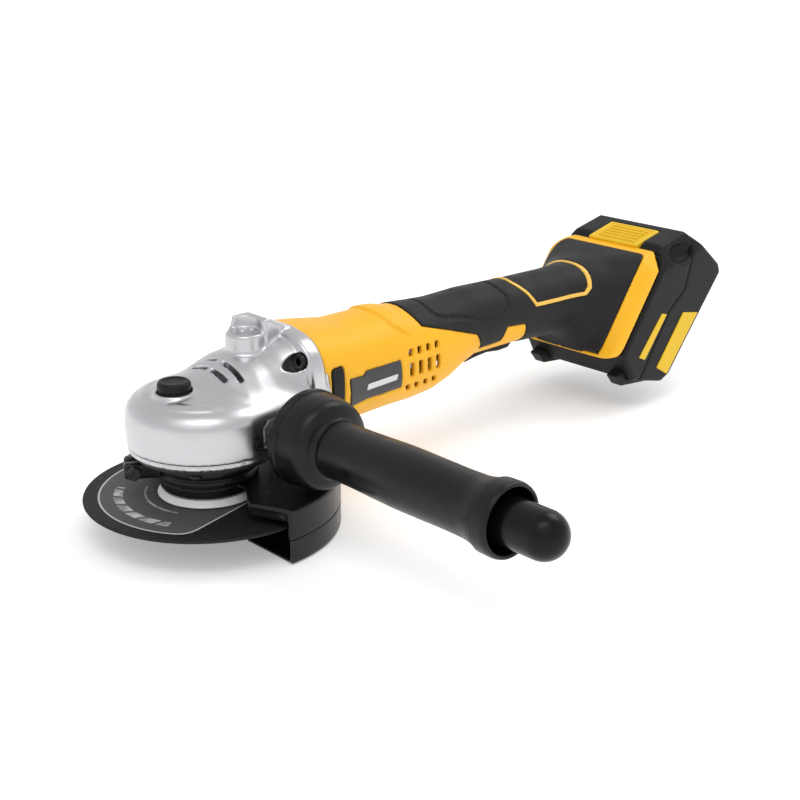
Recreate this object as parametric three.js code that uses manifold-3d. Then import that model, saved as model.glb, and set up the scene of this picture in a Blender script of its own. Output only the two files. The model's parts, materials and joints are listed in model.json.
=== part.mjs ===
// Cordless 115 mm angle grinder with a slide-on battery, a side handle and a cutting guard.
// Units are millimetres. The origin is the centre of the spindle's free end face, the spindle
// runs up +Z, +X runs back along the grip to the battery, and the side handle points along -Y.

import * as THREE from 'three';
import { mergeVertices } from 'three/addons/utils/BufferGeometryUtils.js';
import Module from 'manifold-3d';

const wasm = await Module();
wasm.setup();

// ---------------------------------------------------------------- driving dimensions

const gap = 0.3;                 // clearance between pieces that touch
const far = 400;                 // longer than any part of the tool, for cutting blocks

const disc = { radius: 57.5, thickness: 1.6, middle: 8, bore: 11.15 };
const flangeRadius = 23.4;       // flange behind the disc
const motorAxis = 52;            // height of the motor shaft above the spindle's end
const gearTeeth = 30;
const pinionTeeth = 10;
const gearPitch = 23;            // outer pitch radius of the ring gear
const pinionPitch = gearPitch * pinionTeeth / gearTeeth;

const caseNose = 36.3;           // radius of the gear case round the spindle
const caseBottom = 32.5;
const caseRear = 46.5;           // face that the motor housing meets
const chamberRadius = 25.8;
const chamberTop = 49;

const neckRadius = 19.6;         // bearing cover's neck, which the guard clamps round
const guardRadius = 61;
const guardSheet = 1.6;
const guardTop = 17.6;
const guardSeam = 3.4;
const rimBottom = 13;            // lower edge of the rim round the guard's hole
const lipBottom = 11.8;          // lower edge of the lip along the guard's open side
const guardBottom = -8.6;
const guardNear = THREE.MathUtils.degToRad(-90);  // the guard's two ends, as angles round the spindle
const guardFar = THREE.MathUtils.degToRad(80);
const notchRadius = 27;          // opening in the lower cover round the nut
const collarTop = 26;
const clampDegrees = 147;        // where the guard's clamp screw lies round the spindle
const clampReach = 33.5;         // how far out from the spindle it lies
const clampHeight = 22;

const lockX = -16;               // spindle lock button
const lockPinTip = 46.6;

const handleX = 24.6;            // side handle axis
const handleZ = 40.4;
const bossFace = 42;             // end face of each handle boss, measured from the centre plane
const sleeveEnd = 168;
const coreEnd = 195;
const coreRadius = 11;

const shellWall = 2.6;
const slideTilt = THREE.MathUtils.degToRad(35);  // battery slide, from the vertical
const footCentre = { x: 265, z: 52.6 };  // where the grip's axis meets the battery
const packHalfWidth = 38;
const stripe = { half: 37.9, bottom: -33, top: 32.8, chamferStart: 22 };  // foot stripe, about its centre

// ---------------------------------------------------------------- materials

function finish(color, roughness, metalness) {
  return new THREE.MeshStandardMaterial({ color, roughness, metalness });
}

const castAluminium = finish(0xc9c9cc, 0.35, 0.9);
const steel = finish(0x9a9b9e, 0.3, 1.0);
const brightSteel = finish(0xd0d0d2, 0.25, 1.0);
const blackSteel = finish(0x141416, 0.4, 0.5);
const abrasive = finish(0x1c1c1e, 0.9, 0.0);
const yellowPlastic = finish(0xf7b530, 0.45, 0.0);
const blackRubber = finish(0x333335, 0.65, 0.0);
const blackPlastic = finish(0x242426, 0.5, 0.0);
const buttonYellow = finish(0xe0bc2a, 0.45, 0.0);
const copper = finish(0xb26a3a, 0.4, 0.9);
const whiteNylon = finish(0xdedbd2, 0.6, 0.0);
const cellGreen = finish(0x3b7a5a, 0.5, 0.0);

// ---------------------------------------------------------------- shaping helpers

// Turns a closed geometry into a manifold solid whose faces point out.
function solid(geometry) {
  const plain = geometry.clone();
  plain.deleteAttribute('normal');
  plain.deleteAttribute('uv');
  const merged = mergeVertices(plain, 1e-4);
  const points = merged.attributes.position.array;
  const faces = Array.from(merged.index.array);
  const kept = [];
  let volume = 0;
  for (let i = 0; i < faces.length; i += 3) {
    const [a, b, c] = faces.slice(i, i + 3);
    if (a === b || b === c || c === a) {
      continue;
    }
    kept.push(a, b, c);
    const p = new THREE.Vector3().fromArray(points, 3 * a);
    const q = new THREE.Vector3().fromArray(points, 3 * b);
    const r = new THREE.Vector3().fromArray(points, 3 * c);
    volume += p.dot(q.cross(r));
  }
  if (volume < 0) {
    for (let i = 0; i < kept.length; i += 3) {
      const first = kept[i];
      kept[i] = kept[i + 1];
      kept[i + 1] = first;
    }
  }
  const mesh = new wasm.Mesh({
    numProp: 3,
    vertProperties: new Float32Array(points),
    triVerts: new Uint32Array(kept),
  });
  return new wasm.Manifold(mesh);
}

function union(first, ...others) {
  return others.reduce((whole, piece) => whole.add(piece), first);
}

function cut(first, ...others) {
  return others.reduce((whole, piece) => whole.subtract(piece), first);
}

// Drops slivers that a cut leaves behind.
function largest(body) {
  return body.decompose().reduce((best, piece) => (piece.volume() > best.volume() ? piece : best));
}

const group = new THREE.Group();

// Adds one named node made of a manifold solid.
function addNode(name, body, material) {
  const { vertProperties, triVerts } = body.getMesh();
  const geometry = new THREE.BufferGeometry();
  geometry.setAttribute('position', new THREE.BufferAttribute(new Float32Array(vertProperties), 3));
  geometry.setIndex(new THREE.BufferAttribute(new Uint32Array(triVerts), 1));
  geometry.computeVertexNormals();
  const mesh = new THREE.Mesh(geometry, material);
  mesh.name = name;
  group.add(mesh);
}

function moved(geometry, x, y, z) {
  return geometry.translate(x, y, z);
}

function block(x0, x1, y0, y1, z0, z1) {
  const box = new THREE.BoxGeometry(x1 - x0, y1 - y0, z1 - z0);
  return solid(moved(box, (x0 + x1) / 2, (y0 + y1) / 2, (z0 + z1) / 2));
}

const alongZ = new THREE.Matrix4().makeRotationX(Math.PI / 2);
const zToX = new THREE.Matrix4().makeBasis(
  new THREE.Vector3(0, 1, 0), new THREE.Vector3(0, 0, 1), new THREE.Vector3(1, 0, 0));
const zToMinusY = new THREE.Matrix4().makeBasis(
  new THREE.Vector3(1, 0, 0), new THREE.Vector3(0, 0, 1), new THREE.Vector3(0, -1, 0));

// Solid of revolution about Z from a closed or on-axis profile of [radius, z] points.
function turned(profile, segments = 20) {
  const points = profile.map(([r, z]) => new THREE.Vector2(r, z));
  return new THREE.LatheGeometry(points, segments).applyMatrix4(alongZ);
}

function rod(radius, z0, z1, segments = 18) {
  return turned([[0, z0], [radius, z0], [radius, z1], [0, z1]], segments);
}

function cone(radius0, z0, radius1, z1, segments = 20) {
  return turned([[0, z0], [radius0, z0], [radius1, z1], [0, z1]], segments);
}

function ring(inner, outer, z0, z1, segments = 20) {
  return turned([[inner, z0], [outer, z0], [outer, z1], [inner, z1], [inner, z0]], segments);
}

// The same shapes laid along X, and along -Y, about a chosen axis.
function layAlongX(geometry, y, z) {
  return moved(geometry.applyMatrix4(zToX), 0, y, z);
}

function layAlongMinusY(geometry, x, z) {
  return moved(geometry.applyMatrix4(zToMinusY), x, 0, z);
}

// Plate between two heights, with an outline of [x, y] points.
function plate(outline, z0, z1) {
  const shape = new THREE.Shape(outline.map(([x, y]) => new THREE.Vector2(x, y)));
  const geometry = new THREE.ExtrudeGeometry(shape, { depth: z1 - z0, bevelEnabled: false });
  return moved(geometry, 0, 0, z0);
}

// Prism between two y planes, with a side outline of [x, z] points.
function sidePrism(outline, y0, y1) {
  const shape = new THREE.Shape(outline.map(([x, z]) => new THREE.Vector2(x, z)));
  const geometry = new THREE.ExtrudeGeometry(shape, { depth: y1 - y0, bevelEnabled: false });
  return moved(geometry.applyMatrix4(zToMinusY), 0, y1, 0);
}

// Closed skin through rings that all have the same number of points.
function loft(rings) {
  const count = rings[0].length;
  const positions = [];
  const index = [];
  for (const points of rings) {
    for (const p of points) {
      positions.push(p.x, p.y, p.z);
    }
  }
  for (let i = 0; i + 1 < rings.length; i += 1) {
    for (let j = 0; j < count; j += 1) {
      const a = i * count + j;
      const b = i * count + (j + 1) % count;
      index.push(a, b, b + count, a, b + count, a + count);
    }
  }
  for (const [level, flip] of [[0, true], [rings.length - 1, false]]) {
    const centre = new THREE.Vector3();
    rings[level].forEach((p) => centre.add(p));
    centre.divideScalar(count);
    const hub = positions.length / 3;
    positions.push(centre.x, centre.y, centre.z);
    for (let j = 0; j < count; j += 1) {
      const a = level * count + j;
      const b = level * count + (j + 1) % count;
      index.push(hub, flip ? b : a, flip ? a : b);
    }
  }
  const geometry = new THREE.BufferGeometry();
  geometry.setAttribute('position', new THREE.Float32BufferAttribute(positions, 3));
  geometry.setIndex(index);
  return geometry;
}

// Superellipse section of the body: a centre in the XZ plane, a lean back from the vertical,
// a half width, a half height and a power (2 is an ellipse, more is squarer).
function section({ x, z, lean = 0, wide, high, power = 2 }, inset = 0, count = 24) {
  const points = [];
  for (let i = 0; i < count; i += 1) {
    const angle = 2 * Math.PI * i / count;
    const c = Math.cos(angle);
    const s = Math.sin(angle);
    const across = (wide - inset) * Math.sign(c) * Math.abs(c) ** (2 / power);
    const up = (high - inset) * Math.sign(s) * Math.abs(s) ** (2 / power);
    points.push(new THREE.Vector3(x + up * Math.sin(lean), across, z + up * Math.cos(lean)));
  }
  return points;
}

function bodyLoft(stations, inset = 0, count = 24) {
  return solid(loft(stations.map((station) => section(station, inset, count))));
}

// Where a feature at an angle round the spindle lies.
function roundSpindle(radius, degrees) {
  const angle = THREE.MathUtils.degToRad(degrees);
  return [radius * Math.cos(angle), radius * Math.sin(angle)];
}

// Lays a solid that was made about Z along X instead.
function solidAlongX(body, x, y, z) {
  return body.transform([0, 1, 0, 0, 0, 0, 1, 0, 1, 0, 0, 0, x, y, z, 1]);
}

function leftHalf(body) {
  return largest(body.intersect(block(-far, far, -far, -gap / 2, -far, far)));
}

function rightHalf(body) {
  return largest(body.intersect(block(-far, far, gap / 2, far, -far, far)));
}

// Coil spring about Z: an extruded wire section that follows a helix.
class Helix extends THREE.Curve {
  constructor(radius, height, turns) {
    super();
    this.radius = radius;
    this.height = height;
    this.turns = turns;
  }

  getPoint(t, target = new THREE.Vector3()) {
    const angle = 2 * Math.PI * this.turns * t;
    const { radius, height } = this;
    return target.set(radius * Math.cos(angle), radius * Math.sin(angle), height * t);
  }
}

function coilSpring(radius, wire, height, turns) {
  const shape = new THREE.Shape();
  shape.absarc(0, 0, wire, 0, 2 * Math.PI);
  return new THREE.ExtrudeGeometry(shape, {
    steps: Math.round(turns * 7),
    curveSegments: 3,
    extrudePath: new Helix(radius, height, turns),
  });
}

// Socket-head screw pointing up +Z, with its head's underside at height 0.
function socketScrew(shank, length, head, headHeight) {
  const outside = turned([[0, -headHeight], [head, -headHeight], [head, 0], [shank, 0],
    [shank, length], [0, length]], 12);
  const socket = turned([[0, -headHeight - 1], [head * 0.5, -headHeight - 1],
    [head * 0.5, -headHeight * 0.4], [0, -headHeight * 0.4]], 6);
  return cut(solid(outside), solid(socket));
}

// ---------------------------------------------------------------- gear case

// Plan outline of the gear case: a round nose, with sides that run back to the motor flange.
function caseOutline(inset, z) {
  const nose = caseNose - inset;
  const side = 32 - inset;
  const rear = caseRear - 2;
  const points = [];
  for (let i = 0; i <= 2; i += 1) {
    points.push(new THREE.Vector3(rear * (1 - i / 3), -side - (nose - side) * i / 3, z));
  }
  for (let i = 0; i <= 20; i += 1) {
    const angle = -Math.PI / 2 - Math.PI * i / 20;
    points.push(new THREE.Vector3(nose * Math.cos(angle), nose * Math.sin(angle), z));
  }
  for (let i = 2; i >= 0; i -= 1) {
    points.push(new THREE.Vector3(rear * (1 - i / 3), side + (nose - side) * i / 3, z));
  }
  return points;
}

const caseBowlLevels = [
  [3, caseBottom], [1.8, caseBottom + 1], [0.4, 38], [0, 43], [1, 48.5], [2.4, 52], [5.4, 54.6],
  [10, 57.2], [15, 59],
];

// Top of the case over the pinion, from behind the lock button back to the flange.
const caseHump = [
  { x: -7, z: 53, wide: 10, high: 7 },
  { x: -3, z: 53, wide: 17, high: 10.5, power: 2.2 },
  { x: 6, z: 53, wide: 24, high: 15, power: 2.3 },
  { x: 16, z: 52.5, wide: 27, high: 19, power: 2.4 },
  { x: 28, z: 52, wide: 29, high: 24, power: 2.6 },
  { x: 40, z: 52, wide: 31, high: 27.5, power: 3 },
  { x: caseRear, z: 52, wide: 31.5, high: 28, power: 3 },
];

const caseScrewSpots = [[-23, 68], [23, 68], [-23, 36], [23, 36]];
const caseScrewSeat = 40.2;
const coverScrewAngles = [45, 135, 225, 315];
const coverScrewRadius = 30;
const topBossX = 24;

// Raised web behind the top boss, from the side and from above.
const hoodSide = [
  [topBossX - 4, 70], [topBossX - 4, 79], [topBossX - 2, 86.6], [topBossX + 7, 86.6],
  [topBossX + 13, 83.2], [caseRear - 0.5, 79.7], [caseRear - 0.5, 70],
];
const hoodTop = [
  [topBossX + 6, -8.6], [caseRear - 0.5, -8.6], [caseRear - 0.5, 8.6], [topBossX - 4, 8.6],
];

// Slots across the top of the case, in pairs on each side of the centre plane.
const caseVents = [{ x: 3.2, middle: 7.4, length: 12.4 }, { x: 8.7, middle: 10.2, length: 16.4 }];

function gearCaseVents() {
  const slots = [];
  for (const side of [-1, 1]) {
    for (const { x, middle, length } of caseVents) {
      const slot = new THREE.BoxGeometry(2.6, length, 9);
      slot.rotateZ(side * 0.07);
      slots.push(solid(moved(slot, x, side * middle, 65.5)));
    }
  }
  return slots;
}

function buildGearCase() {
  const bowl = solid(loft(caseBowlLevels.map(([inset, z]) => caseOutline(inset, z))));
  const hump = bodyLoft(caseHump, 0, 22);
  const collar = solid(moved(cone(10.4, 55, 9.6, 59.8), lockX, 0, 0));
  const topBoss = solid(moved(cone(10.4, 60, 9, 80.2), topBossX, 0, 0));
  const hood = solid(sidePrism(hoodSide, -10, 10)).intersect(solid(plate(hoodTop, 60, 90)));
  const bosses = [-1, 1].map((side) => {
    const boss = layAlongMinusY(rod(11.5, 26, bossFace, 16), handleX, handleZ);
    return solid(side < 0 ? boss : boss.rotateX(Math.PI).translate(0, 0, 2 * handleZ));
  });
  const outside = union(bowl, hump, collar, topBoss, hood, ...bosses);
  const threads = [-1, 1].map((side) => {
    const bore = layAlongMinusY(rod(4.2, 30.5, bossFace + 2, 10), handleX, handleZ);
    return solid(side < 0 ? bore : bore.rotateX(Math.PI).translate(0, 0, 2 * handleZ));
  });
  const chamber = solid(rod(chamberRadius, caseBottom - 5, chamberTop, 28));
  const upperBearingSeat = solid(rod(6.3, chamberTop - 1, 58.5, 16));
  const pinionTunnel = solid(layAlongX(rod(9.6, 10, 36, 18), 0, motorAxis));
  const bearingSeat = solid(layAlongX(rod(13.3, 34, caseRear + 5, 24), 0, motorAxis));
  const pinBore = solid(moved(rod(2.4, chamberTop - 1, 54, 10), lockX, 0, 0));
  const springPocket = solid(moved(rod(5.4, 51.6, 58, 14), lockX, 0, 0));
  const buttonRecess = solid(moved(rod(8.1, 53.4, 70, 24), lockX, 0, 0));
  const screwHoles = caseScrewSpots.flatMap(([y, z]) => [
    solid(layAlongX(rod(2.3, 36, caseRear + 5, 8), y, z)),
    solid(layAlongX(rod(4.4, 20, 40.5, 12), y, z)),
  ]);
  const coverHoles = coverScrewAngles.map((degrees) => (
    solid(moved(rod(1.9, 27, 42, 8), ...roundSpindle(coverScrewRadius, degrees), 0))
  ));
  const coverSpace = solid(rod(34.6, 0, caseBottom, 28));
  return cut(outside, coverSpace, chamber, upperBearingSeat, pinionTunnel, bearingSeat, pinBore,
    springPocket, buttonRecess, ...threads, ...screwHoles, ...coverHoles, ...gearCaseVents());
}

function addCaseScrews() {
  caseScrewSpots.forEach(([y, z], i) => {
    const screw = socketScrew(2, 14, 3.9, 4);
    addNode(`case_screw_${i + 1}`, solidAlongX(screw, caseScrewSeat, y, z), blackSteel);
  });
}

// ---------------------------------------------------------------- bearing cover and spindle

function buildBearingCover() {
  const profile = [[10.5, 14.6], [18.8, 14.6], [neckRadius, 15.4], [neckRadius, 29], [33, 29], [33, 31.4],
    [32.2, 32.2], [16.2, 32.2], [16.2, 18.8], [10.5, 18.8], [10.5, 14.6]];
  const holes = coverScrewAngles.map((degrees) => (
    solid(moved(rod(1.9, 26, 34, 8), ...roundSpindle(coverScrewRadius, degrees), 0))
  ));
  return cut(solid(turned(profile, 24)), ...holes);
}

function addCoverScrews() {
  coverScrewAngles.forEach((degrees, i) => {
    const spot = roundSpindle(coverScrewRadius, degrees);
    const screw = socketScrew(1.6, 12, 2.8, 2.2).translate([...spot, 29 - gap]);
    addNode(`cover_screw_${i + 1}`, screw, blackSteel);
  });
}

function buildSpindle() {
  return solid(turned([[0, 0], [6.2, 0], [7, 0.8], [7, 15], [9, 15], [9, 18.6], [5.8, 18.6], [5.8, 31],
    [7.2, 31], [7.2, 36.5], [6.5, 36.5], [6.5, 44.5], [3.8, 46], [3.8, 57.5], [0, 57.5]], 20));
}

// Straight bevel teeth: one outline, shrunk towards the point where the two gear axes cross.
function bevelGear(teeth, pitch, apexDistance, faceWidth, hubDepth, boreRadius) {
  const toothHeight = 0.085 * gearPitch / 3.3;
  const tipSpan = 0.10;
  const rootSpan = 0.26;
  const outline = [];
  for (let i = 0; i < teeth; i += 1) {
    const steps = [[-rootSpan, -1.3], [-tipSpan, 1], [tipSpan, 1], [rootSpan, -1.3]];
    for (const [turn, lift] of steps) {
      outline.push([2 * Math.PI * (i + turn) / teeth, lift * toothHeight]);
    }
  }
  const slope = Math.atan2(pitch, apexDistance);
  const levels = [1, 1 - faceWidth / Math.hypot(pitch, apexDistance)];
  const rings = levels.map((scale) => outline.map(([angle, lift]) => {
    const r = scale * (pitch + lift * Math.cos(slope));
    const depth = scale * (apexDistance - lift * Math.sin(slope));
    return new THREE.Vector3(r * Math.cos(angle), r * Math.sin(angle), -depth);
  }));
  const backRadius = pitch - 1.9 * toothHeight;
  const back = outline.map(([angle]) => new THREE.Vector3(
    backRadius * Math.cos(angle), backRadius * Math.sin(angle), -apexDistance - hubDepth));
  const crown = solid(loft([back, ...rings]));
  return crown.subtract(solid(rod(boreRadius, -apexDistance - hubDepth - 5, 5, 24)));
}

// Ring gear: its teeth face up towards the motor axis, and four holes take the lock pin.
function buildRingGear() {
  const gear = bevelGear(gearTeeth, gearPitch, pinionPitch, 4.4, 6, 6.7).translate([0, 0, motorAxis]);
  const holes = [0, 90, 180, 270].map((degrees) => (
    solid(moved(rod(2.3, 30, 50, 8), ...roundSpindle(lockX, degrees), 0))
  ));
  return cut(gear, ...holes);
}

// ---------------------------------------------------------------- disc and its flanges

function buildInnerFlange() {
  return solid(turned([[7.4, 7.5], [10.8, 7.5], [10.8, 9.1], [flangeRadius, 9.1], [flangeRadius, 11],
    [flangeRadius - 1.4, 12], [10, 12.4], [10, 14.7], [7.4, 14.7], [7.4, 7.5]], 28));
}

function buildDisc() {
  const low = disc.middle - disc.thickness / 2;
  const high = disc.middle + disc.thickness / 2;
  return solid(ring(disc.bore, disc.radius, low, high, 48));
}

function buildFlangeNut() {
  const body = solid(turned([[7.4, 1.2], [13, 1.2], [13, 4.2], [20, 4.6],
    [20, 6.9], [7.4, 6.9], [7.4, 1.2]], 24));
  const pinHoles = [0, 90, 180, 270].map((degrees) => (
    solid(moved(rod(2.2, -2, 5.4, 6), ...roundSpindle(15.6, degrees), 0))
  ));
  return cut(body, ...pinHoles);
}

// ---------------------------------------------------------------- guard

function arcPoints(radius, from, to, steps) {
  const points = [];
  for (let i = 0; i <= steps; i += 1) {
    const angle = from + (to - from) * i / steps;
    points.push([radius * Math.cos(angle), radius * Math.sin(angle)]);
  }
  return points;
}

function guardWall(z0, z1) {
  const outline = [...arcPoints(guardRadius, guardNear, guardFar, 26),
    ...arcPoints(guardRadius - guardSheet, guardFar, guardNear, 26)];
  return solid(plate(outline, z0, z1));
}

// Point at a guard end, a given distance out from the spindle and forward of the end's own edge.
function guardEdge(angle, radius, forward) {
  return [radius * Math.cos(angle) - forward, radius * Math.sin(angle)];
}

// Edge of the guard's top plate, folded down beside the disc.
function guardLip(angle, cornerForward, startForward) {
  const corner = guardEdge(angle, 43, cornerForward);
  const end = guardEdge(angle, guardRadius - 1, 0);
  const start = guardEdge(angle, 35, startForward);
  const inner = [start, corner, end].map(([x, y]) => [x + guardSheet, y]);
  return solid(plate([start, corner, end, ...inner.reverse()], lipBottom, guardTop - 0.5));
}

function buildGuardShell() {
  const outline = [...arcPoints(guardRadius, guardNear, guardFar, 26),
    guardEdge(guardFar, 43, 14), guardEdge(guardFar, 22, 13),
    guardEdge(guardNear, 26, -2), guardEdge(guardNear, 35, 4), guardEdge(guardNear, 43, 8)];
  const top = solid(plate(outline, guardTop - guardSheet, guardTop));
  const rim = solid(ring(neckRadius + gap, 22, rimBottom, guardTop, 30));
  const wall = guardWall(guardSeam, guardTop);
  const hole = solid(rod(neckRadius + gap, 0, 40, 30));
  return cut(union(top, rim, wall, guardLip(guardNear, 8, 4), guardLip(guardFar, 14, 13.6)), hole);
}

// Clip-on cover for cutting work: it closes the guard from below, round a notch for the nut.
function buildGuardCover() {
  const outline = [...arcPoints(guardRadius, guardNear, guardFar, 26),
    guardEdge(guardFar, guardRadius - 3, 10),
    ...arcPoints(notchRadius, Math.PI / 2, -Math.PI / 2, 14),
    guardEdge(guardNear, guardRadius - 3, 0)];
  const floor = solid(plate(outline, guardBottom, guardBottom + guardSheet));
  return union(floor, guardWall(guardBottom, guardSeam - gap));
}

function toClamp(body) {
  return body.rotate([0, 0, clampDegrees]);
}

// Split band round the neck, with two ears that the clamp screw draws together.
function buildGuardCollar() {
  const band = solid(ring(neckRadius + gap, 23.4, guardTop + gap, collarTop, 30));
  const ears = [-1, 1].map((side) => {
    const [low, high] = side < 0 ? [-6.5, -1.2] : [1.2, 6.5];
    return block(22, clampReach + 4.5, low, high, guardTop + gap, collarTop);
  });
  const slit = block(15, 60, -1.2, 1.2, 0, 40);
  const bolt = solid(layAlongMinusY(rod(2.3, -12, 12, 14), clampReach, clampHeight));
  const opening = solid(rod(neckRadius + gap, 0, 40, 30));
  return toClamp(cut(union(band, ...ears), slit, bolt, opening));
}

function buildClampScrew() {
  const profile = [[0, -9.4], [3.1, -9.4], [3.1, -6.8], [2, -6.8], [2, 6.8], [3.6, 6.8],
    [3.6, 9.6], [0, 9.6]];
  return toClamp(solid(layAlongMinusY(turned(profile, 14), clampReach, clampHeight)));
}

// ---------------------------------------------------------------- spindle lock

function buildLockButton() {
  const profile = [[0, 55.2], [2.6, 55.2], [2.6, 57.2], [7.5, 57.2], [7.6, 64.2], [6.8, 65.4],
    [5.2, 65.6], [4.8, 65.1], [0, 65.1]];
  return solid(moved(turned(profile, 24), lockX, 0, 0));
}

// At rest the pin's tip clears the ring gear, and a press drops it into one of the gear's holes.
function buildLockPin() {
  const profile = [[0, lockPinTip], [1.6, lockPinTip], [2, lockPinTip + 0.5], [2, 54.9], [0, 54.9]];
  return solid(moved(turned(profile, 12), lockX, 0, 0));
}

function buildLockSpring() {
  return solid(moved(coilSpring(4, 0.45, 4, 3), lockX, 0, 52.4));
}

// ---------------------------------------------------------------- motor

function buildMotorShaft() {
  return solid(layAlongX(turned([[0, 11], [3, 11], [3, 30], [4.7, 30], [4.7, 60], [5.5, 60], [5.5, 118],
    [3.6, 118], [3.6, 131], [0, 131]], 20), 0, motorAxis));
}

function buildPinion() {
  const gear = bevelGear(pinionTeeth, pinionPitch, gearPitch, 4.4, 2.4, 3.3);
  const halfPitch = 180 / pinionTeeth;
  const spun = gear.rotate([0, 0, halfPitch - 90]).mirror([0, 0, 1]);
  return solidAlongX(spun, 0, 0, motorAxis);
}

function buildFan() {
  const hub = solid(ring(5.1, 9, 47.5, 57.5, 20));
  const dish = solid(ring(8, 21, 47.5, 49, 24));
  const blades = [];
  for (let i = 0; i < 9; i += 1) {
    blades.push(block(8.5, 20.8, -0.7, 0.7, 48, 56.5).rotate([0, 0, 40 * i]));
  }
  return solidAlongX(union(hub, dish, ...blades), 0, 0, motorAxis);
}

function buildArmature() {
  return solid(layAlongX(turned([[5.8, 64], [11, 64], [14.5, 68], [15.2, 70], [15.2, 102], [14.5, 104],
    [9.5, 108], [9, 109], [9, 117], [5.8, 117], [5.8, 64]], 24), 0, motorAxis));
}

function buildMotorCan() {
  return solid(layAlongX(ring(16.6, 20.4, 62, 110, 32), 0, motorAxis));
}

function buildMotorEndCap() {
  const profile = [[10.2, 110.4], [20.4, 110.4], [20.4, 114], [16, 122], [13, 130], [4.4, 130],
    [4.4, 128.4], [8.2, 128.4], [8.2, 120], [10.2, 120], [10.2, 110.4]];
  return solid(layAlongX(turned(profile, 22), 0, motorAxis));
}

function buildMotorBearing(inner, outer, x) {
  return solid(layAlongX(ring(inner, outer, x, x + 7, 28), 0, motorAxis));
}

// ---------------------------------------------------------------- housing and grip

// Outer form of the body from the motor housing back to the flared foot.
const bodyStations = [
  { x: 46.8, z: 52, wide: 30.5, high: 27.4, power: 2.9 },
  { x: 60, z: 51.8, wide: 28.5, high: 26.6, power: 2.6 },
  { x: 76, z: 51, wide: 26.4, high: 25.4, power: 2.3 },
  { x: 98, z: 51.6, wide: 26, high: 26, power: 2.1 },
  { x: 116, z: 50.8, wide: 24.8, high: 25.2 },
  { x: 130, z: 50.8, wide: 23.6, high: 24 },
  { x: 142, z: 52.2, wide: 21.8, high: 22 },
  { x: 152, z: 54.6, wide: 20, high: 20 },
  { x: 164, z: 57, wide: 18.2, high: 18.2 },
  { x: 200, z: 56.6, wide: 17.6, high: 17.6 },
  { x: 232, z: 55.6, wide: 18.2, high: 18.4 },
  { x: 244, z: 54, lean: 0.2, wide: 20.3, high: 20.4, power: 2.2 },
  { x: 254, z: 52.8, lean: 0.42, wide: 27.4, high: 25.6, power: 2.8 },
  { x: 262, z: 53, lean: slideTilt, wide: 36, high: 31, power: 4.4 },
  { ...footCentre, lean: slideTilt, wide: 37.2, high: 32, power: 5 },
];

// Side outline of the rubber-covered part: it meets the yellow shell along its lower front edge.
const gripOutline = [
  [112, 100], [116, 73.5], [118.6, 67.5], [135.7, 62.5], [157, 55.7], [162.4, 48.6], [163, 45.6],
  [179, 46.2], [181, 54.6], [196, 53.2], [199.5, 45], [200.5, 30], [300, 0], [300, 100],
];

// Moves every edge of a clockwise outline outwards by the same distance.
function offsetOutline(outline, distance) {
  const count = outline.length;
  return outline.map(([x, z], i) => {
    const [px, pz] = outline[(i + count - 1) % count];
    const [nx, nz] = outline[(i + 1) % count];
    const before = new THREE.Vector2(z - pz, px - x).normalize();
    const after = new THREE.Vector2(nz - z, x - nx).normalize();
    const mitre = before.clone().add(after).normalize();
    const reach = distance / mitre.dot(after);
    return [x + mitre.x * reach, z + mitre.y * reach];
  });
}

function hollowBody() {
  const outer = bodyLoft(bodyStations);
  const front = bodyStations[0];
  const back = bodyStations[bodyStations.length - 1];
  const past = { ...back, x: back.x + 3 * Math.cos(slideTilt), z: back.z - 3 * Math.sin(slideTilt) };
  const inner = bodyLoft([{ ...front, x: front.x - 3 }, ...bodyStations, past], shellWall, 16);
  const posts = caseScrewSpots.map(([y, z]) => solid(layAlongX(rod(5, 46.8, 58, 12), y, z)));
  const bores = caseScrewSpots.map(([y, z]) => solid(layAlongX(rod(2.3, 40, 56, 8), y, z)));
  const walls = union(cut(outer, inner), union(...posts).intersect(outer), housingPosts(outer));
  return cut(walls, ...bores, ...housingScrewBores());
}

function sideVents() {
  const slots = [];
  const rows = [[46.6, 56], [59, 63.4]];
  for (const [low, high] of rows) {
    for (let i = 0; i < 4; i += 1) {
      const x = 104.5 + 6.5 * i;
      slots.push(block(x, x + 3, -40, 40, low, high));
    }
  }
  return slots;
}

const triggerPivot = { x: 166, z: 44.6 };

function triggerOpening() {
  return block(146.5, 198.5, -7.2, 7.2, 25, 46.5);
}

const housingScrewSpots = [[137, 38], [136, 67.5], [208, 57], [236, 56]];
const screwSeat = 13;            // how far from the centre plane the housing screws' heads sit

function housingPosts(outer) {
  const posts = housingScrewSpots.map(([x, z]) => solid(layAlongMinusY(rod(3.8, -60, 60, 12), x, z)));
  return union(...posts).intersect(outer);
}

// Blind bores with a counterbore on the right side of the tool.
function housingScrewBores() {
  return housingScrewSpots.map(([x, z]) => {
    const profile = [[0, -60], [3.2, -60], [3.2, -screwSeat], [1.7, -screwSeat], [1.7, 11], [0, 11]];
    return solid(layAlongMinusY(turned(profile, 10), x, z));
  });
}

function addHousingScrews() {
  housingScrewSpots.forEach(([x, z], i) => {
    const screw = socketScrew(1.4, 23, 2.8, 2.2);
    const placed = screw.rotate([90, 0, 0]).translate([x, gap + screwSeat, z]);
    addNode(`housing_screw_${i + 1}`, placed, blackSteel);
  });
}

function buildHousing(shell) {
  const rubber = solid(sidePrism(offsetOutline(gripOutline, gap), -60, 60));
  const pinBore = solid(layAlongMinusY(rod(1.7, -9.8, 9.8, 12), triggerPivot.x, triggerPivot.z));
  return cut(shell, rubber, triggerOpening(), pinBore, ...sideVents());
}

function buildGrip(shell) {
  const rubber = solid(sidePrism(gripOutline, -60, 60));
  return cut(shell.intersect(rubber), triggerOpening());
}

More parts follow.
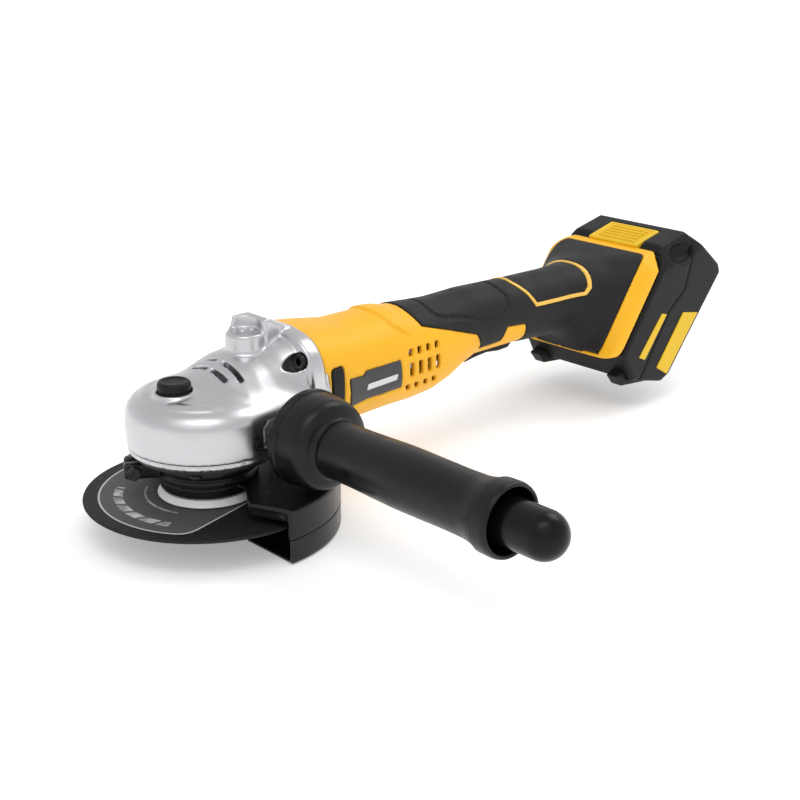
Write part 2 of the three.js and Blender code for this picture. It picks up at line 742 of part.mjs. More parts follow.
function addShells() {
  const shell = hollowBody();
  const housing = buildHousing(shell);
  const grip = buildGrip(shell);
  addNode('housing_left', leftHalf(housing), yellowPlastic);
  addNode('housing_right', rightHalf(housing), yellowPlastic);
  addNode('grip_left', leftHalf(grip), blackRubber);
  addNode('grip_right', rightHalf(grip), blackRubber);
}

// ---------------------------------------------------------------- controls

function buildTrigger() {
  const outline = [[163, 47], [196, 47], [197.5, 40], [194.5, 37.2], [188, 36.4], [168, 36.6],
    [161.5, 35.4], [160, 38], [160.6, 44]];
  const pivot = solid(layAlongMinusY(rod(1.7, -20, 20, 12), triggerPivot.x, triggerPivot.z));
  return cut(solid(sidePrism(outline, -6.8, 6.8)), pivot);
}

function buildSafetyCatch() {
  const outline = [[148.4, 45.5], [158.8, 45.5], [159, 38], [157.2, 34.6], [150.4, 36.6]];
  return solid(sidePrism(outline, -6.4, 6.4));
}

function buildTriggerPin() {
  return solid(layAlongMinusY(rod(1.5, -9.5, 9.5, 12), triggerPivot.x, triggerPivot.z));
}

function buildTriggerSpring() {
  return solid(moved(coilSpring(2.6, 0.4, 4, 3), 188, 0, 47.7));
}

function buildSwitch() {
  return union(block(168, 200, -9, 9, 53, 66), block(184, 192, -4, 4, 52.4, 53.1));
}

// ---------------------------------------------------------------- foot and battery

// Places a shape that was drawn upright at the foot's centre so that it leans with the slide.
function leaned(body) {
  const lean = THREE.MathUtils.radToDeg(slideTilt);
  return body.rotate([0, lean, 0]).translate([footCentre.x, 0, footCentre.z]);
}

// Plate across the foot, between two depths, with its upper corners cut off.
function footPlate(depth0, depth1, inset) {
  const half = stripe.half - inset;
  const side = stripe.chamferStart - inset / 2;
  const top = stripe.top - inset;
  const low = stripe.bottom + inset;
  const outline = [[-half + 5, low], [half - 5, low], [half, low + 6], [half, side], [half - 9, top],
    [-half + 9, top], [-half, side], [-half, low + 6]];
  const shape = new THREE.Shape(outline.map(([y, z]) => new THREE.Vector2(y, z)));
  const geometry = new THREE.ExtrudeGeometry(shape, { depth: depth1 - depth0, bevelEnabled: false });
  return solid(moved(geometry.applyMatrix4(zToX), depth0, 0, 0));
}

function buildFootStripe() {
  return leaned(cut(footPlate(0.3, 3.6, 0), footPlate(-1, 5, 3.2)));
}

// Plate that closes the foot, with the T rail that the battery slides on.
function buildBatteryMount() {
  const base = footPlate(0.3, 3.4, 3.5);
  const neck = block(3, 7.2, -15, 15, -20, 22);
  const head = block(7, 10, -20, 20, -20, 22);
  return leaned(union(base, neck, head));
}

function buildTerminalBlock() {
  return leaned(union(block(-12, 0, -16, 16, -14, 12), block(-1, 0.1, -12, 12, -10, 8)));
}

// Whole battery envelope: a side outline with its top edges chamfered.
function packEnvelope() {
  const outline = [[263, 10.4], [290, 4], [297, 7], [340.5, 60], [338.5, 65.5], [326, 75.8],
    [312, 87.4], [286.4, 81.4], [289, 77], [254, 27]];
  const whole = solid(sidePrism(outline, -packHalfWidth, packHalfWidth));
  const chamfers = [-1, 1].map((side) => {
    const corner = [[30, 0], [60, 0], [60, -60], [38.5, -13]];
    const shape = new THREE.Shape(corner.map(([y, z]) => new THREE.Vector2(side * y, z)));
    const wedge = new THREE.ExtrudeGeometry(shape, { depth: 120, bevelEnabled: false });
    wedge.applyMatrix4(zToX);
    wedge.rotateY(-0.22);
    return solid(moved(wedge, 250, 0, 75));
  });
  return cut(whole, ...chamfers);
}

// Everything in front of the seam between the pack's two shells.
function frontOfSeam(offset) {
  const seam = [[268, -20], [268, 8], [293, 46], [306, 56], [318, 95]];
  const outline = [[200, -20], ...seam.map(([x, z]) => [x + offset, z]), [200, 95]];
  return solid(sidePrism(outline, -60, 60));
}

function railSlot() {
  return leaned(union(block(0, 7.5, -15.5, 15.5, -60, 23), block(6.6, 10.5, -20.5, 20.5, -60, 23)));
}

function behindStripe() {
  return leaned(block(3.9, 200, -100, 100, -200, 200));
}

const packButton = { x: 297.4, z: 82.6, length: 21.6, width: 35, slope: -0.245 };

function buttonPocket() {
  const pocket = new THREE.BoxGeometry(packButton.length + 1.2, packButton.width + 1, 12);
  pocket.rotateY(packButton.slope);
  return solid(moved(pocket, packButton.x, 0, packButton.z - 2.2));
}

function cellSpots() {
  return [-1, 0, 1].map((step) => step * 19.4);
}

function cellCavity() {
  return leaned(block(13, 41, -31, 31, -27, 22));
}

function buildPackFront() {
  const envelope = packEnvelope().intersect(behindStripe()).intersect(frontOfSeam(0));
  return cut(envelope, railSlot(), buttonPocket(), cellCavity());
}

function buildPackRear() {
  const envelope = cut(packEnvelope().intersect(behindStripe()), frontOfSeam(gap));
  return cut(envelope, cellCavity(), buttonPocket());
}

function buildCellBlock() {
  const cells = [];
  for (const y of cellSpots()) {
    cells.push(solid(moved(rod(9.1, -25, 20, 20), 24, y, 0)));
  }
  const holder = block(22, 26, -28, 28, -20, -15);
  const upperHolder = block(22, 26, -28, 28, 10, 15);
  return leaned(union(cells[0], cells[1], cells[2], holder, upperHolder));
}

function buildPackButton() {
  const body = new THREE.BoxGeometry(packButton.length, packButton.width, 4);
  const ribs = [];
  for (let i = 0; i < 5; i += 1) {
    const rib = new THREE.BoxGeometry(1.6, 25, 1.2);
    rib.translate(-6.4 + 3.2 * i, 0, 2.2);
    ribs.push(rib);
  }
  const parts = [body, ...ribs].map((geometry) => {
    geometry.rotateY(packButton.slope);
    return solid(moved(geometry, packButton.x, 0, packButton.z));
  });
  return union(parts[0], ...parts.slice(1));
}

function buildPackSpring() {
  const spring = coilSpring(3.4, 0.4, 4.4, 3);
  spring.rotateY(packButton.slope);
  return solid(moved(spring, packButton.x - 0.4, 0, 75.4));
}

function buildSkid(side) {
  const outline = [[255, 13], [260, 7], [286, 4.6], [290, 7.6], [260, 13]];
  const y = side * 29;
  return cut(solid(sidePrism(outline, y - 4.5, y + 4.5)), packEnvelope());
}

// Coloured bar on the side of the pack.
function buildPackBar(side) {
  const outline = [[284, 13.8], [293.7, 8], [319.6, 39.8], [306, 42.4]];
  const middle = side * (packHalfWidth + gap + 0.4);
  return solid(sidePrism(outline, middle - 0.4, middle + 0.4));
}

// ---------------------------------------------------------------- side handle

function buildHandleStud() {
  const profile = [[0, 31], [3.6, 31], [4, 31.6], [4, 72], [0, 72]];
  return solid(layAlongMinusY(turned(profile, 18), handleX, handleZ));
}

function buildHandleCore() {
  const domeStart = coreEnd - coreRadius;
  const profile = [[4.3, 62], [coreRadius - 1, 62], [coreRadius - 1, 118], [coreRadius, 122],
    [coreRadius, domeStart]];
  for (let i = 1; i <= 5; i += 1) {
    const angle = Math.PI / 2 * i / 6;
    profile.push([coreRadius * Math.cos(angle), domeStart + coreRadius * Math.sin(angle)]);
  }
  profile.push([0, coreEnd], [0, 72.4], [4.3, 72.4], [4.3, 62]);
  return solid(layAlongMinusY(turned(profile, 20), handleX, handleZ));
}

function buildHandleGrip() {
  const profile = [[4.4, bossFace + gap], [22.2, bossFace + gap], [22.2, 45.4], [21.6, 46.4], [21.4, 52],
    [20.6, 58], [18.8, 62], [15.6, 65], [13, 68], [13.2, 78], [13.8, 110], [13.4, 150], [15.2, 158],
    [15.8, 160.5], [16, 166], [15.4, sleeveEnd], [13.8, sleeveEnd], [13.6, 154], [12, 124], [10.4, 114],
    [10.4, 61.6], [4.4, 61.6], [4.4, bossFace + gap]];
  return solid(layAlongMinusY(turned(profile, 24), handleX, handleZ));
}

// ---------------------------------------------------------------- assembly

addNode('gear_case', buildGearCase(), castAluminium);
addCaseScrews();
addNode('bearing_cover', buildBearingCover(), blackSteel);
addCoverScrews();
addNode('spindle', buildSpindle(), steel);
addNode('ring_gear', buildRingGear(), steel);
addNode('spindle_bearing_lower', solid(ring(6.1, 15.9, 19.1, 28.9, 32)), brightSteel);
addNode('spindle_bearing_upper', solid(ring(4.1, 6, 49.4, 57.4, 20)), brightSteel);
addNode('inner_flange', buildInnerFlange(), brightSteel);
addNode('cutting_disc', buildDisc(), abrasive);
addNode('flange_nut', buildFlangeNut(), blackSteel);
addNode('guard_shell', buildGuardShell(), blackSteel);
addNode('guard_collar', buildGuardCollar(), blackSteel);
addNode('clamp_screw', buildClampScrew(), blackSteel);
addNode('guard_cover', buildGuardCover(), blackSteel);
addNode('lock_button', buildLockButton(), blackPlastic);
addNode('lock_pin', buildLockPin(), steel);
addNode('lock_spring', buildLockSpring(), steel);
addNode('motor_shaft', buildMotorShaft(), steel);
addNode('pinion', buildPinion(), steel);
addNode('motor_bearing_front', buildMotorBearing(5, 13, 34.4), brightSteel);
addNode('motor_bearing_rear', buildMotorBearing(3.9, 7.9, 120.4), brightSteel);
addNode('fan', buildFan(), whiteNylon);
addNode('armature', buildArmature(), copper);
addNode('motor_can', buildMotorCan(), steel);
addNode('motor_end_cap', buildMotorEndCap(), blackPlastic);
addShells();
addNode('trigger', buildTrigger(), blackPlastic);
addNode('trigger_pin', buildTriggerPin(), steel);
addNode('trigger_spring', buildTriggerSpring(), steel);
addNode('safety_catch', buildSafetyCatch(), blackPlastic);
addHousingScrews();
addNode('switch', buildSwitch(), blackPlastic);
addNode('foot_stripe', buildFootStripe(), yellowPlastic);
addNode('battery_mount', buildBatteryMount(), blackPlastic);
addNode('terminal_block', buildTerminalBlock(), blackPlastic);
addNode('pack_front', buildPackFront(), blackPlastic);
addNode('pack_rear', buildPackRear(), blackPlastic);
addNode('cell_block', buildCellBlock(), cellGreen);
addNode('pack_button', buildPackButton(), buttonYellow);
addNode('pack_spring', buildPackSpring(), steel);
addNode('pack_bar_left', buildPackBar(-1), buttonYellow);
addNode('pack_bar_right', buildPackBar(1), buttonYellow);
addNode('skid_left', buildSkid(-1), blackRubber);
addNode('skid_right', buildSkid(1), blackRubber);
addNode('handle_stud', buildHandleStud(), steel);
addNode('handle_core', buildHandleCore(), blackPlastic);
addNode('handle_grip', buildHandleGrip(), blackRubber);

export default group;
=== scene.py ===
import json
import math

import bpy
import numpy as np
from mathutils import Matrix, Vector


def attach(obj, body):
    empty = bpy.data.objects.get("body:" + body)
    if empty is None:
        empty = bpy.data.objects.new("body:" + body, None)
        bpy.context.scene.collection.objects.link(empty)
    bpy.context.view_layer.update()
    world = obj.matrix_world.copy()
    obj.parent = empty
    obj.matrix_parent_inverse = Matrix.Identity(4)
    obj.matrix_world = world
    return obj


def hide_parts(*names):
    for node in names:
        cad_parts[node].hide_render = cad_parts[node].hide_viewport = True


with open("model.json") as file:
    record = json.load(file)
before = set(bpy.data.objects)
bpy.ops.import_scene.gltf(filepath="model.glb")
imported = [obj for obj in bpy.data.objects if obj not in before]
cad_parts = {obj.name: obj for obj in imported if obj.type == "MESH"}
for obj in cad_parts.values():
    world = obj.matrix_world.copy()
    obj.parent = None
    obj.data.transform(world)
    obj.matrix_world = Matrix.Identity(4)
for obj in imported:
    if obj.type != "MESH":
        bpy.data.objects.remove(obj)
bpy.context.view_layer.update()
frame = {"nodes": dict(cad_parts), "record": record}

MM = 0.001
COARSE = 1.0

# ---------------------------------------------------------------- sizes shared with the CAD, in mm

MOTOR_AXIS = 52.0
NOSE = 36.3
CASE_BOTTOM, CASE_SKIRT = 32.5, 31.2
CASE_REAR = 46.5
LOCK_X = -16.0
HANDLE_X, HANDLE_Z = 24.6, 40.4
TOP_BOSS_X = 24.0
BOSS_FACE = 42.0
BOSS_TOP = 80.2
COLLAR_TOP = 60.8
CASE_SCREW_SEAT = 40.2
COVER_SCREW_R = 30.0
NECK = 19.6
FLANGE_R = 23.4
GUARD_R, GUARD_SHEET = 61.0, 1.6
RIM_R, RIM_BOTTOM, LIP_BOTTOM = 22.0, 13.0, 11.8
BAND_TOP = 26.0
CLAMP_TURN, CLAMP_REACH, CLAMP_HEIGHT = math.radians(147), 33.5, 22.0
GUARD_TOP, GUARD_SEAM, GUARD_BOTTOM = 17.6, 3.4, -8.6
GUARD_NEAR, GUARD_FAR = math.radians(-90), math.radians(80)
NOTCH = 27.0
SLIDE_TILT = math.radians(35)
FOOT = (265.0, 52.6)
TRIGGER_PIN = (166.0, 44.6)
PACK_HALF = 38.0
GAP = 0.3

# ---------------------------------------------------------------- distance fields


def smooth_min(a, b, r):
    h = np.clip(0.5 + 0.5 * (b - a) / r, 0, 1)
    return b + (a - b) * h - r * h * (1 - h)


def smooth_max(a, b, r):
    return -smooth_min(-a, -b, r)


def smoothstep(low, high, v):
    t = np.clip((v - low) / (high - low), 0, 1)
    return t * t * (3 - 2 * t)


def slab(v, low, high):
    return np.maximum(low - v, v - high)


def polygon(u, v, points):
    """Signed distance to a closed outline, negative inside."""
    pts = np.asarray(points, float)
    best = np.full(u.shape, 1e18)
    inside = np.zeros(u.shape, bool)
    for a, b in zip(pts, np.roll(pts, -1, axis=0)):
        ex, ey = b - a
        wx, wy = u - a[0], v - a[1]
        t = np.clip((wx * ex + wy * ey) / (ex * ex + ey * ey), 0, 1)
        best = np.minimum(best, (wx - ex * t) ** 2 + (wy - ey * t) ** 2)
        if ey != 0:
            crosses = (a[1] > v) != (b[1] > v)
            inside ^= crosses & (u < a[0] + ex * (v - a[1]) / ey)
    d = np.sqrt(best)
    return np.where(inside, -d, d)


def polyline(u, v, points):
    """Distance to an open chain of segments."""
    best = np.full(u.shape, 1e18)
    for a, b in zip(points[:-1], points[1:]):
        ex, ey = b[0] - a[0], b[1] - a[1]
        wx, wy = u - a[0], v - a[1]
        t = np.clip((wx * ex + wy * ey) / (ex * ex + ey * ey), 0, 1)
        best = np.minimum(best, (wx - ex * t) ** 2 + (wy - ey * t) ** 2)
    return np.sqrt(best)


def rounded_box(x, y, z, half, radius):
    qx, qy, qz = abs(x) - half[0] + radius, abs(y) - half[1] + radius, abs(z) - half[2] + radius
    outer = np.sqrt(np.maximum(qx, 0) ** 2 + np.maximum(qy, 0) ** 2 + np.maximum(qz, 0) ** 2)
    return outer + np.minimum(np.maximum(qx, np.maximum(qy, qz)), 0) - radius


def table(points, step=0.5, blur=7.0):
    """Smoothed lookup of one or more values along a line of stations."""
    pts = np.asarray(points, float)
    s = np.arange(pts[0, 0], pts[-1, 0] + step, step)
    rows = [np.interp(s, pts[:, 0], pts[:, k]) for k in range(1, pts.shape[1])]
    n = max(1, int(blur / step / 2))
    kernel = np.hanning(2 * n + 3)[1:-1]
    kernel /= kernel.sum()
    smooth = [np.convolve(np.pad(r, n, mode="edge"), kernel, mode="valid") for r in rows]
    return s, smooth


def look_up(tab, v):
    s, rows = tab
    return [np.interp(v, s, r) for r in rows]


def superellipse(across, up, wide, high, power):
    n = (np.abs(across / wide) ** power + np.abs(up / high) ** power) ** (1 / power)
    return (n - 1) * np.minimum(wide, high)


# ---------------------------------------------------------------- surfaces from fields

CUBE = [(i, j, k) for i in (0, 1) for j in (0, 1) for k in (0, 1)]


def sample(field, low, shape, step):
    """Field values on a grid; blocks far from the surface only get one value."""
    size = 12
    values = np.empty(shape)
    starts = []
    counts = [int(math.ceil((n - 1) / size)) or 1 for n in shape]
    centres = np.array([[i * size + size / 2, j * size + size / 2, k * size + size / 2]
                        for i in range(counts[0]) for j in range(counts[1]) for k in range(counts[2])])
    middle = field(*(np.asarray(low)[:, None] + centres.T * step))
    reach = size * step * 0.87 * 1.5 + 1.5
    near = np.abs(middle) < reach
    for c, m, is_near in zip(centres, middle, near):
        i, j, k = (c - size / 2).astype(int)
        part = (slice(i, i + size + 1), slice(j, j + size + 1), slice(k, k + size + 1))
        if is_near:
            starts.append((i, j, k))
        else:
            values[part] = m
    for batch in range(0, len(starts), 400):
        parts, points = [], []
        for i, j, k in starts[batch:batch + 400]:
            part = (slice(i, min(i + size + 1, shape[0])), slice(j, min(j + size + 1, shape[1])),
                    slice(k, min(k + size + 1, shape[2])))
            grid = np.mgrid[part]
            parts.append((part, grid.shape[1:]))
            points.append(grid.reshape(3, -1))
        p = np.concatenate(points, axis=1)
        found = field(*(np.asarray(low)[:, None] + p * step))
        at = 0
        for part, n in parts:
            count = n[0] * n[1] * n[2]
            values[part] = found[at:at + count].reshape(n)
            at += count
    return values


def gradient(field, p, h):
    out = np.zeros_like(p)
    for k in ((1, -1, -1), (-1, -1, 1), (-1, 1, -1), (1, 1, 1)):
        kk = np.array(k, float)
        out += kk * field(*(p + h * kk).T)[:, None]
    norm = np.linalg.norm(out, axis=1, keepdims=True)
    return out / np.maximum(norm, 1e-9), norm / (4 * h)


def surface(field, low, high, step):
    """Quad surface where the field is zero, as (points, quads), in mm."""
    step = step * COARSE
    low = np.asarray(low, float)
    shape = tuple(int(math.ceil((h - l) / step)) + 2 for l, h in zip(low, high))
    values = sample(field, low, shape, step)
    inside = values < 0
    cells = [n - 1 for n in shape]
    count = np.zeros(cells, np.int8)
    for i, j, k in CUBE:
        count += inside[i:i + cells[0], j:j + cells[1], k:k + cells[2]]
    active = np.argwhere((count > 0) & (count < 8))
    total = np.zeros((len(active), 3))
    hits = np.zeros(len(active))
    for a in CUBE:
        for axis in range(3):
            if a[axis]:
                continue
            b = list(a)
            b[axis] = 1
            va = values[tuple((active + a).T)]
            vb = values[tuple((active + b).T)]
            crossing = (va < 0) != (vb < 0)
            t = np.where(crossing, va / np.where(va == vb, 1, va - vb), 0)
            point = np.array(a, float)[None, :].repeat(len(active), 0)
            point[:, axis] = t
            total += point * crossing[:, None]
            hits += crossing
    points = low + (active + total / hits[:, None]) * step
    ids = np.full(cells, -1, np.int32)
    ids[tuple(active.T)] = np.arange(len(active))
    quads = []
    for axis in range(3):
        u, v = (axis + 1) % 3, (axis + 2) % 3
        first = [slice(None)] * 3
        second = [slice(None)] * 3
        first[axis], second[axis] = slice(0, -1), slice(1, None)
        change = inside[tuple(first)] != inside[tuple(second)]
        at = np.argwhere(change)
        at = at[(at[:, u] > 0) & (at[:, v] > 0) & (at[:, u] < cells[u]) & (at[:, v] < cells[v])]
        starts_inside = inside[tuple(at.T)]
        corners = []
        for du, dv in ((-1, -1), (0, -1), (0, 0), (-1, 0)):
            c = at.copy()
            c[:, u] += du
            c[:, v] += dv
            corners.append(ids[tuple(c.T)])
        q = np.stack(corners, 1)
        q[~starts_inside] = q[~starts_inside][:, ::-1]
        quads.append(q)
    for _ in range(3):
        n, slope = gradient(field, points, 0.15 * step)
        d = field(*points.T)[:, None] / np.maximum(slope, 0.3)
        points -= n * np.clip(d, -0.5 * step, 0.5 * step)
    return points, np.concatenate(quads)


# ---------------------------------------------------------------- pieces

scene = bpy.context.scene


def add_piece(name, points, faces, body, slot, nodes=(), look=None, crease=40):
    """Adds a mesh that rides on a body and stands in for CAD nodes, in its slot's look by default."""
    mesh = bpy.data.meshes.new(name)
    scaled = np.asarray(points, float) * MM
    mesh.from_pydata(scaled.tolist(), [], faces if isinstance(faces, list) else faces.tolist())
    mesh.update()
    mesh.shade_smooth()
    if crease:
        mesh.set_sharp_from_angle(angle=math.radians(crease))
    piece = bpy.data.objects.new(name, mesh)
    scene.collection.objects.link(piece)
    mesh.materials.append(look or looks[slot])
    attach(piece, body)
    if nodes:
        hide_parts(*nodes)
    return piece


def field_piece(name, field, low, high, step, body, slot, nodes=(), look=None):
    points, faces = surface(field, low, high, step)
    return add_piece(name, points, faces, body, slot, nodes, look, None)


def filleted(profile, radius, steps=4):
    """Profile of (radius, height) or (radius, height, fillet) points with rounded corners."""
    pts = [np.array(p[:2], float) for p in profile]
    radii = [p[2] if len(p) > 2 else radius for p in profile]
    out = [pts[0]]
    for i in range(1, len(pts) - 1):
        a, p, b = pts[i - 1], pts[i], pts[i + 1]
        da, db = a - p, b - p
        la, lb = np.linalg.norm(da), np.linalg.norm(db)
        da, db = da / la, db / lb
        reach = min(radii[i], 0.45 * la, 0.45 * lb)
        if reach < 1e-3:
            out.append(p)
            continue
        start, end = p + da * reach, p + db * reach
        for t in np.linspace(0, 1, steps + 1):
            out.append((1 - t) ** 2 * start + 2 * t * (1 - t) * p + t * t * end)
    out.append(pts[-1])
    return out


def place_z(x, y):
    return lambda r, h, c, s: (x + r * c, y + r * s, h)


def place_minus_y(x, z):
    return lambda r, h, c, s: (x + r * c, -h, z + r * s)


def lathe(profile, segments, place):
    """Closed surface of revolution; a profile that isn't closed starts and ends on the axis."""
    closed = np.allclose(profile[0], profile[-1])
    rows = profile[:-1] if closed else profile
    points, index = [], []
    for r, h in rows:
        if r < 1e-6:
            index.append([len(points)] * segments)
            points.append(place(0, h, 1, 0))
        else:
            index.append(list(range(len(points), len(points) + segments)))
            angles = [2 * math.pi * k / segments for k in range(segments)]
            points += [place(r, h, math.cos(a), math.sin(a)) for a in angles]
    faces = []
    pairs = list(zip(index, index[1:])) + ([(index[-1], index[0])] if closed else [])
    for lower, upper in pairs:
        for k in range(segments):
            n = (k + 1) % segments
            face = [lower[k], lower[n], upper[n], upper[k]]
            face = [v for i, v in enumerate(face) if v not in face[:i]]
            if len(face) > 2:
                faces.append(face)
    return outward(np.array(points, float), faces)


def outward(points, faces):
    """Flips every face if the closed surface is inside out."""
    volume = 0.0
    for f in faces:
        for a, b in zip(f[1:-1], f[2:]):
            volume += np.dot(points[f[0]], np.cross(points[a], points[b]))
    if volume < 0:
        faces = [list(reversed(f)) for f in faces]
    return points, faces


def lathe_piece(name, profile, place, body, slot, nodes, segments, fillet, look=None, crease=32):
    points, faces = lathe(filleted(profile, fillet), segments, place)
    return add_piece(name, points, faces, body, slot, nodes, look, crease)


# ---------------------------------------------------------------- materials

BLACK_WORN = (0.09, 0.09, 0.095)


def link_math(nodes, links, operation, a, b=None, c=None):
    node = nodes.new("ShaderNodeMath")
    node.operation = operation
    for i, v in enumerate((a, b, c)):
        if v is None:
            continue
        if isinstance(v, (int, float)):
            node.inputs[i].default_value = v
        else:
            links.new(v, node.inputs[i])
    return node.outputs[0]


def noise(nodes, links, vector, size, detail=3.0, stretch=None):
    """Noise whose blobs are about size millimetres across."""
    if stretch:
        mapping = nodes.new("ShaderNodeMapping")
        mapping.inputs["Scale"].default_value = stretch
        links.new(vector, mapping.inputs["Vector"])
        vector = mapping.outputs[0]
    node = nodes.new("ShaderNodeTexNoise")
    node.inputs["Scale"].default_value = 1 / (size * MM)
    node.inputs["Detail"].default_value = detail
    links.new(vector, node.inputs["Vector"])
    return node.outputs["Fac"]


def ramp(nodes, links, value, low, high, out_low, out_high):
    node = nodes.new("ShaderNodeMapRange")
    links.new(value, node.inputs["Value"])
    for key, v in (("From Min", low), ("From Max", high), ("To Min", out_low), ("To Max", out_high)):
        node.inputs[key].default_value = v
    return node.outputs[0]


def blend_colour(nodes, links, factor, a, b):
    node = nodes.new("ShaderNodeMix")
    node.data_type = "RGBA"
    if isinstance(factor, (int, float)):
        node.inputs["Factor"].default_value = factor
    else:
        links.new(factor, node.inputs["Factor"])
    for key, v in (("A", a), ("B", b)):
        socket = [s for s in node.inputs if s.name == key and s.type == "RGBA"][0]
        if isinstance(v, tuple):
            socket.default_value = v
        else:
            links.new(v, socket)
    return [s for s in node.outputs if s.type == "RGBA"][0]


def rgba(colour, gain=1.0):
    return tuple(min(1.0, c * gain) for c in colour) + (1.0,)


def material(name, colour, roughness, metallic=0.0, grain=0.02, grain_size=0.5, wave=0.0, wave_size=9.0,
             mottle=0.05, mottle_size=22.0, rough_spread=0.06, wear=0.0, wear_colour=(0.5, 0.5, 0.5),
             coat=0.0, stretch=None, paint=None, shine=0.5):
    """Principled surface with colour mottling, uneven roughness, fine grain and worn edges."""
    m = bpy.data.materials.new(name)
    m.use_nodes = True
    nodes, links = m.node_tree.nodes, m.node_tree.links
    shader = nodes["Principled BSDF"]
    where = nodes.new("ShaderNodeTexCoord").outputs["Object"]
    patches = noise(nodes, links, where, mottle_size)
    shade = ramp(nodes, links, patches, 0.3, 0.7, 0.0, 1.0)
    tint = blend_colour(nodes, links, shade, rgba(colour, 1 - mottle), rgba(colour, 1 + mottle))
    if paint:
        tint = paint(nodes, links, where, tint)
    if wear:
        pointed = nodes.new("ShaderNodeNewGeometry").outputs["Pointiness"]
        edge = ramp(nodes, links, pointed, 0.53, 0.62, 0.0, 1.0)
        patchy = ramp(nodes, links, noise(nodes, links, where, 3.0), 0.4, 0.65, 0.2, 1.0)
        amount = link_math(nodes, links, "MULTIPLY", edge, patchy)
        amount = link_math(nodes, links, "MULTIPLY", amount, wear)
        tint = blend_colour(nodes, links, amount, tint, rgba(wear_colour))
    links.new(tint, shader.inputs["Base Color"])
    smudges = noise(nodes, links, where, mottle_size * 0.45, 4.0, stretch)
    links.new(ramp(nodes, links, smudges, 0.25, 0.75, roughness - rough_spread, roughness + rough_spread),
              shader.inputs["Roughness"])
    for key, v in (("Metallic", metallic), ("Specular IOR Level", shine), ("Coat Weight", coat),
                   ("Coat Roughness", 0.12)):
        shader.inputs[key].default_value = v
    height = noise(nodes, links, where, grain_size, 2.0, stretch)
    bump = nodes.new("ShaderNodeBump")
    bump.inputs["Strength"].default_value = 1.0
    bump.inputs["Distance"].default_value = grain * MM
    links.new(height, bump.inputs["Height"])
    if wave:
        ripple = nodes.new("ShaderNodeBump")
        ripple.inputs["Strength"].default_value = 1.0
        ripple.inputs["Distance"].default_value = wave * MM
        links.new(noise(nodes, links, where, wave_size, 1.0), ripple.inputs["Height"])
        links.new(ripple.outputs[0], bump.inputs["Normal"])
    links.new(bump.outputs[0], shader.inputs["Normal"])
    return m


def disc_print(nodes, links, where, tint):
    """Label on the disc: a grey round with a thin pale border, one thin arc and a broken band."""
    split = nodes.new("ShaderNodeSeparateXYZ")
    links.new(where, split.inputs[0])
    x, y, z = split.outputs

    def calc(operation, a, b=None, c=None):
        return link_math(nodes, links, operation, a, b, c)

    squares = calc("ADD", calc("MULTIPLY", x, x), calc("MULTIPLY", y, y))
    radius = calc("MULTIPLY", calc("SQRT", squares), 1 / MM)
    angle = calc("MULTIPLY", calc("ARCTAN2", y, x), 180 / math.pi)
    turned = calc("MODULO", calc("ADD", angle, 360.0), 360.0)

    def within(value, low, high):
        return calc("MULTIPLY", calc("GREATER_THAN", value, low), calc("LESS_THAN", value, high))

    top = calc("GREATER_THAN", z, 8.4 * MM)
    edge_x = calc("MULTIPLY", calc("ADD", x, 26.8 * MM), 0.2565 / MM)
    edge_y = calc("MULTIPLY", calc("ADD", y, 33.0 * MM), -0.9665 / MM)
    past = calc("ADD", edge_x, edge_y)
    outside = calc("SMOOTH_MAX", calc("SUBTRACT", radius, 50.6), past, 9.0)
    label = calc("MULTIPLY", calc("LESS_THAN", outside, 0.0), top)
    border = calc("MULTIPLY", within(outside, -0.9, 0.0), top)
    thin = calc("MULTIPLY", within(radius, 28.6, 29.7), within(turned, 131.0, 206.0))
    slant = calc("ADD", turned, calc("MULTIPLY", radius, 0.8))
    dashes = within(calc("MODULO", slant, 13.0), 2.6, 13.0)
    band = calc("MULTIPLY", within(radius, 39.2, 43.6), within(turned, 134.0, 210.0))
    marks = calc("MULTIPLY", calc("MAXIMUM", thin, calc("MULTIPLY", band, dashes)), top)
    faded = ramp(nodes, links, noise(nodes, links, where, 4.0), 0.35, 0.7, 0.25, 0.85)
    tint = blend_colour(nodes, links, label, tint, (0.082, 0.082, 0.082, 1.0))
    tint = blend_colour(nodes, links, calc("MULTIPLY", border, 0.8), tint, (0.62, 0.62, 0.62, 1.0))
    return blend_colour(nodes, links, calc("MULTIPLY", marks, faded), tint, (0.72, 0.72, 0.72, 1.0))


looks = {}


def add_look(name, *values, **options):
    looks[name] = material(name, *values, **options)


add_look("cast_case", (0.57, 0.57, 0.585), 0.30, 1.0, grain=0.010, grain_size=0.4, mottle=0.03,
         rough_spread=0.05)
add_look("steel", (0.52, 0.52, 0.54), 0.3, 1.0, grain=0.01, grain_size=0.4, rough_spread=0.08)
add_look("bright_steel", (0.83, 0.83, 0.85), 0.24, 1.0, grain=0.012, grain_size=0.5, rough_spread=0.07,
         mottle=0.04)
add_look("black_steel", (0.006, 0.006, 0.0065), 0.3, grain=0.012, grain_size=0.7, wave=0.012, mottle=0.12,
         rough_spread=0.07, wear=0.35, wear_colour=(0.10, 0.10, 0.11), coat=0.05, shine=0.28)
add_look("abrasive", (0.008, 0.008, 0.0085), 0.6, shine=0.3, grain=0.10, grain_size=0.7, mottle=0.2,
         mottle_size=3.0, rough_spread=0.1, paint=disc_print)
add_look("yellow_plastic", (0.90, 0.46, 0.018), 0.42, shine=0.24, grain=0.012, grain_size=0.45,
         mottle=0.025, rough_spread=0.05, wear=0.25, wear_colour=(0.98, 0.68, 0.2))
add_look("black_rubber", (0.016, 0.016, 0.017), 0.52, shine=0.18, grain=0.035, grain_size=0.55,
         mottle=0.08, rough_spread=0.06, wear=0.3, wear_colour=BLACK_WORN)
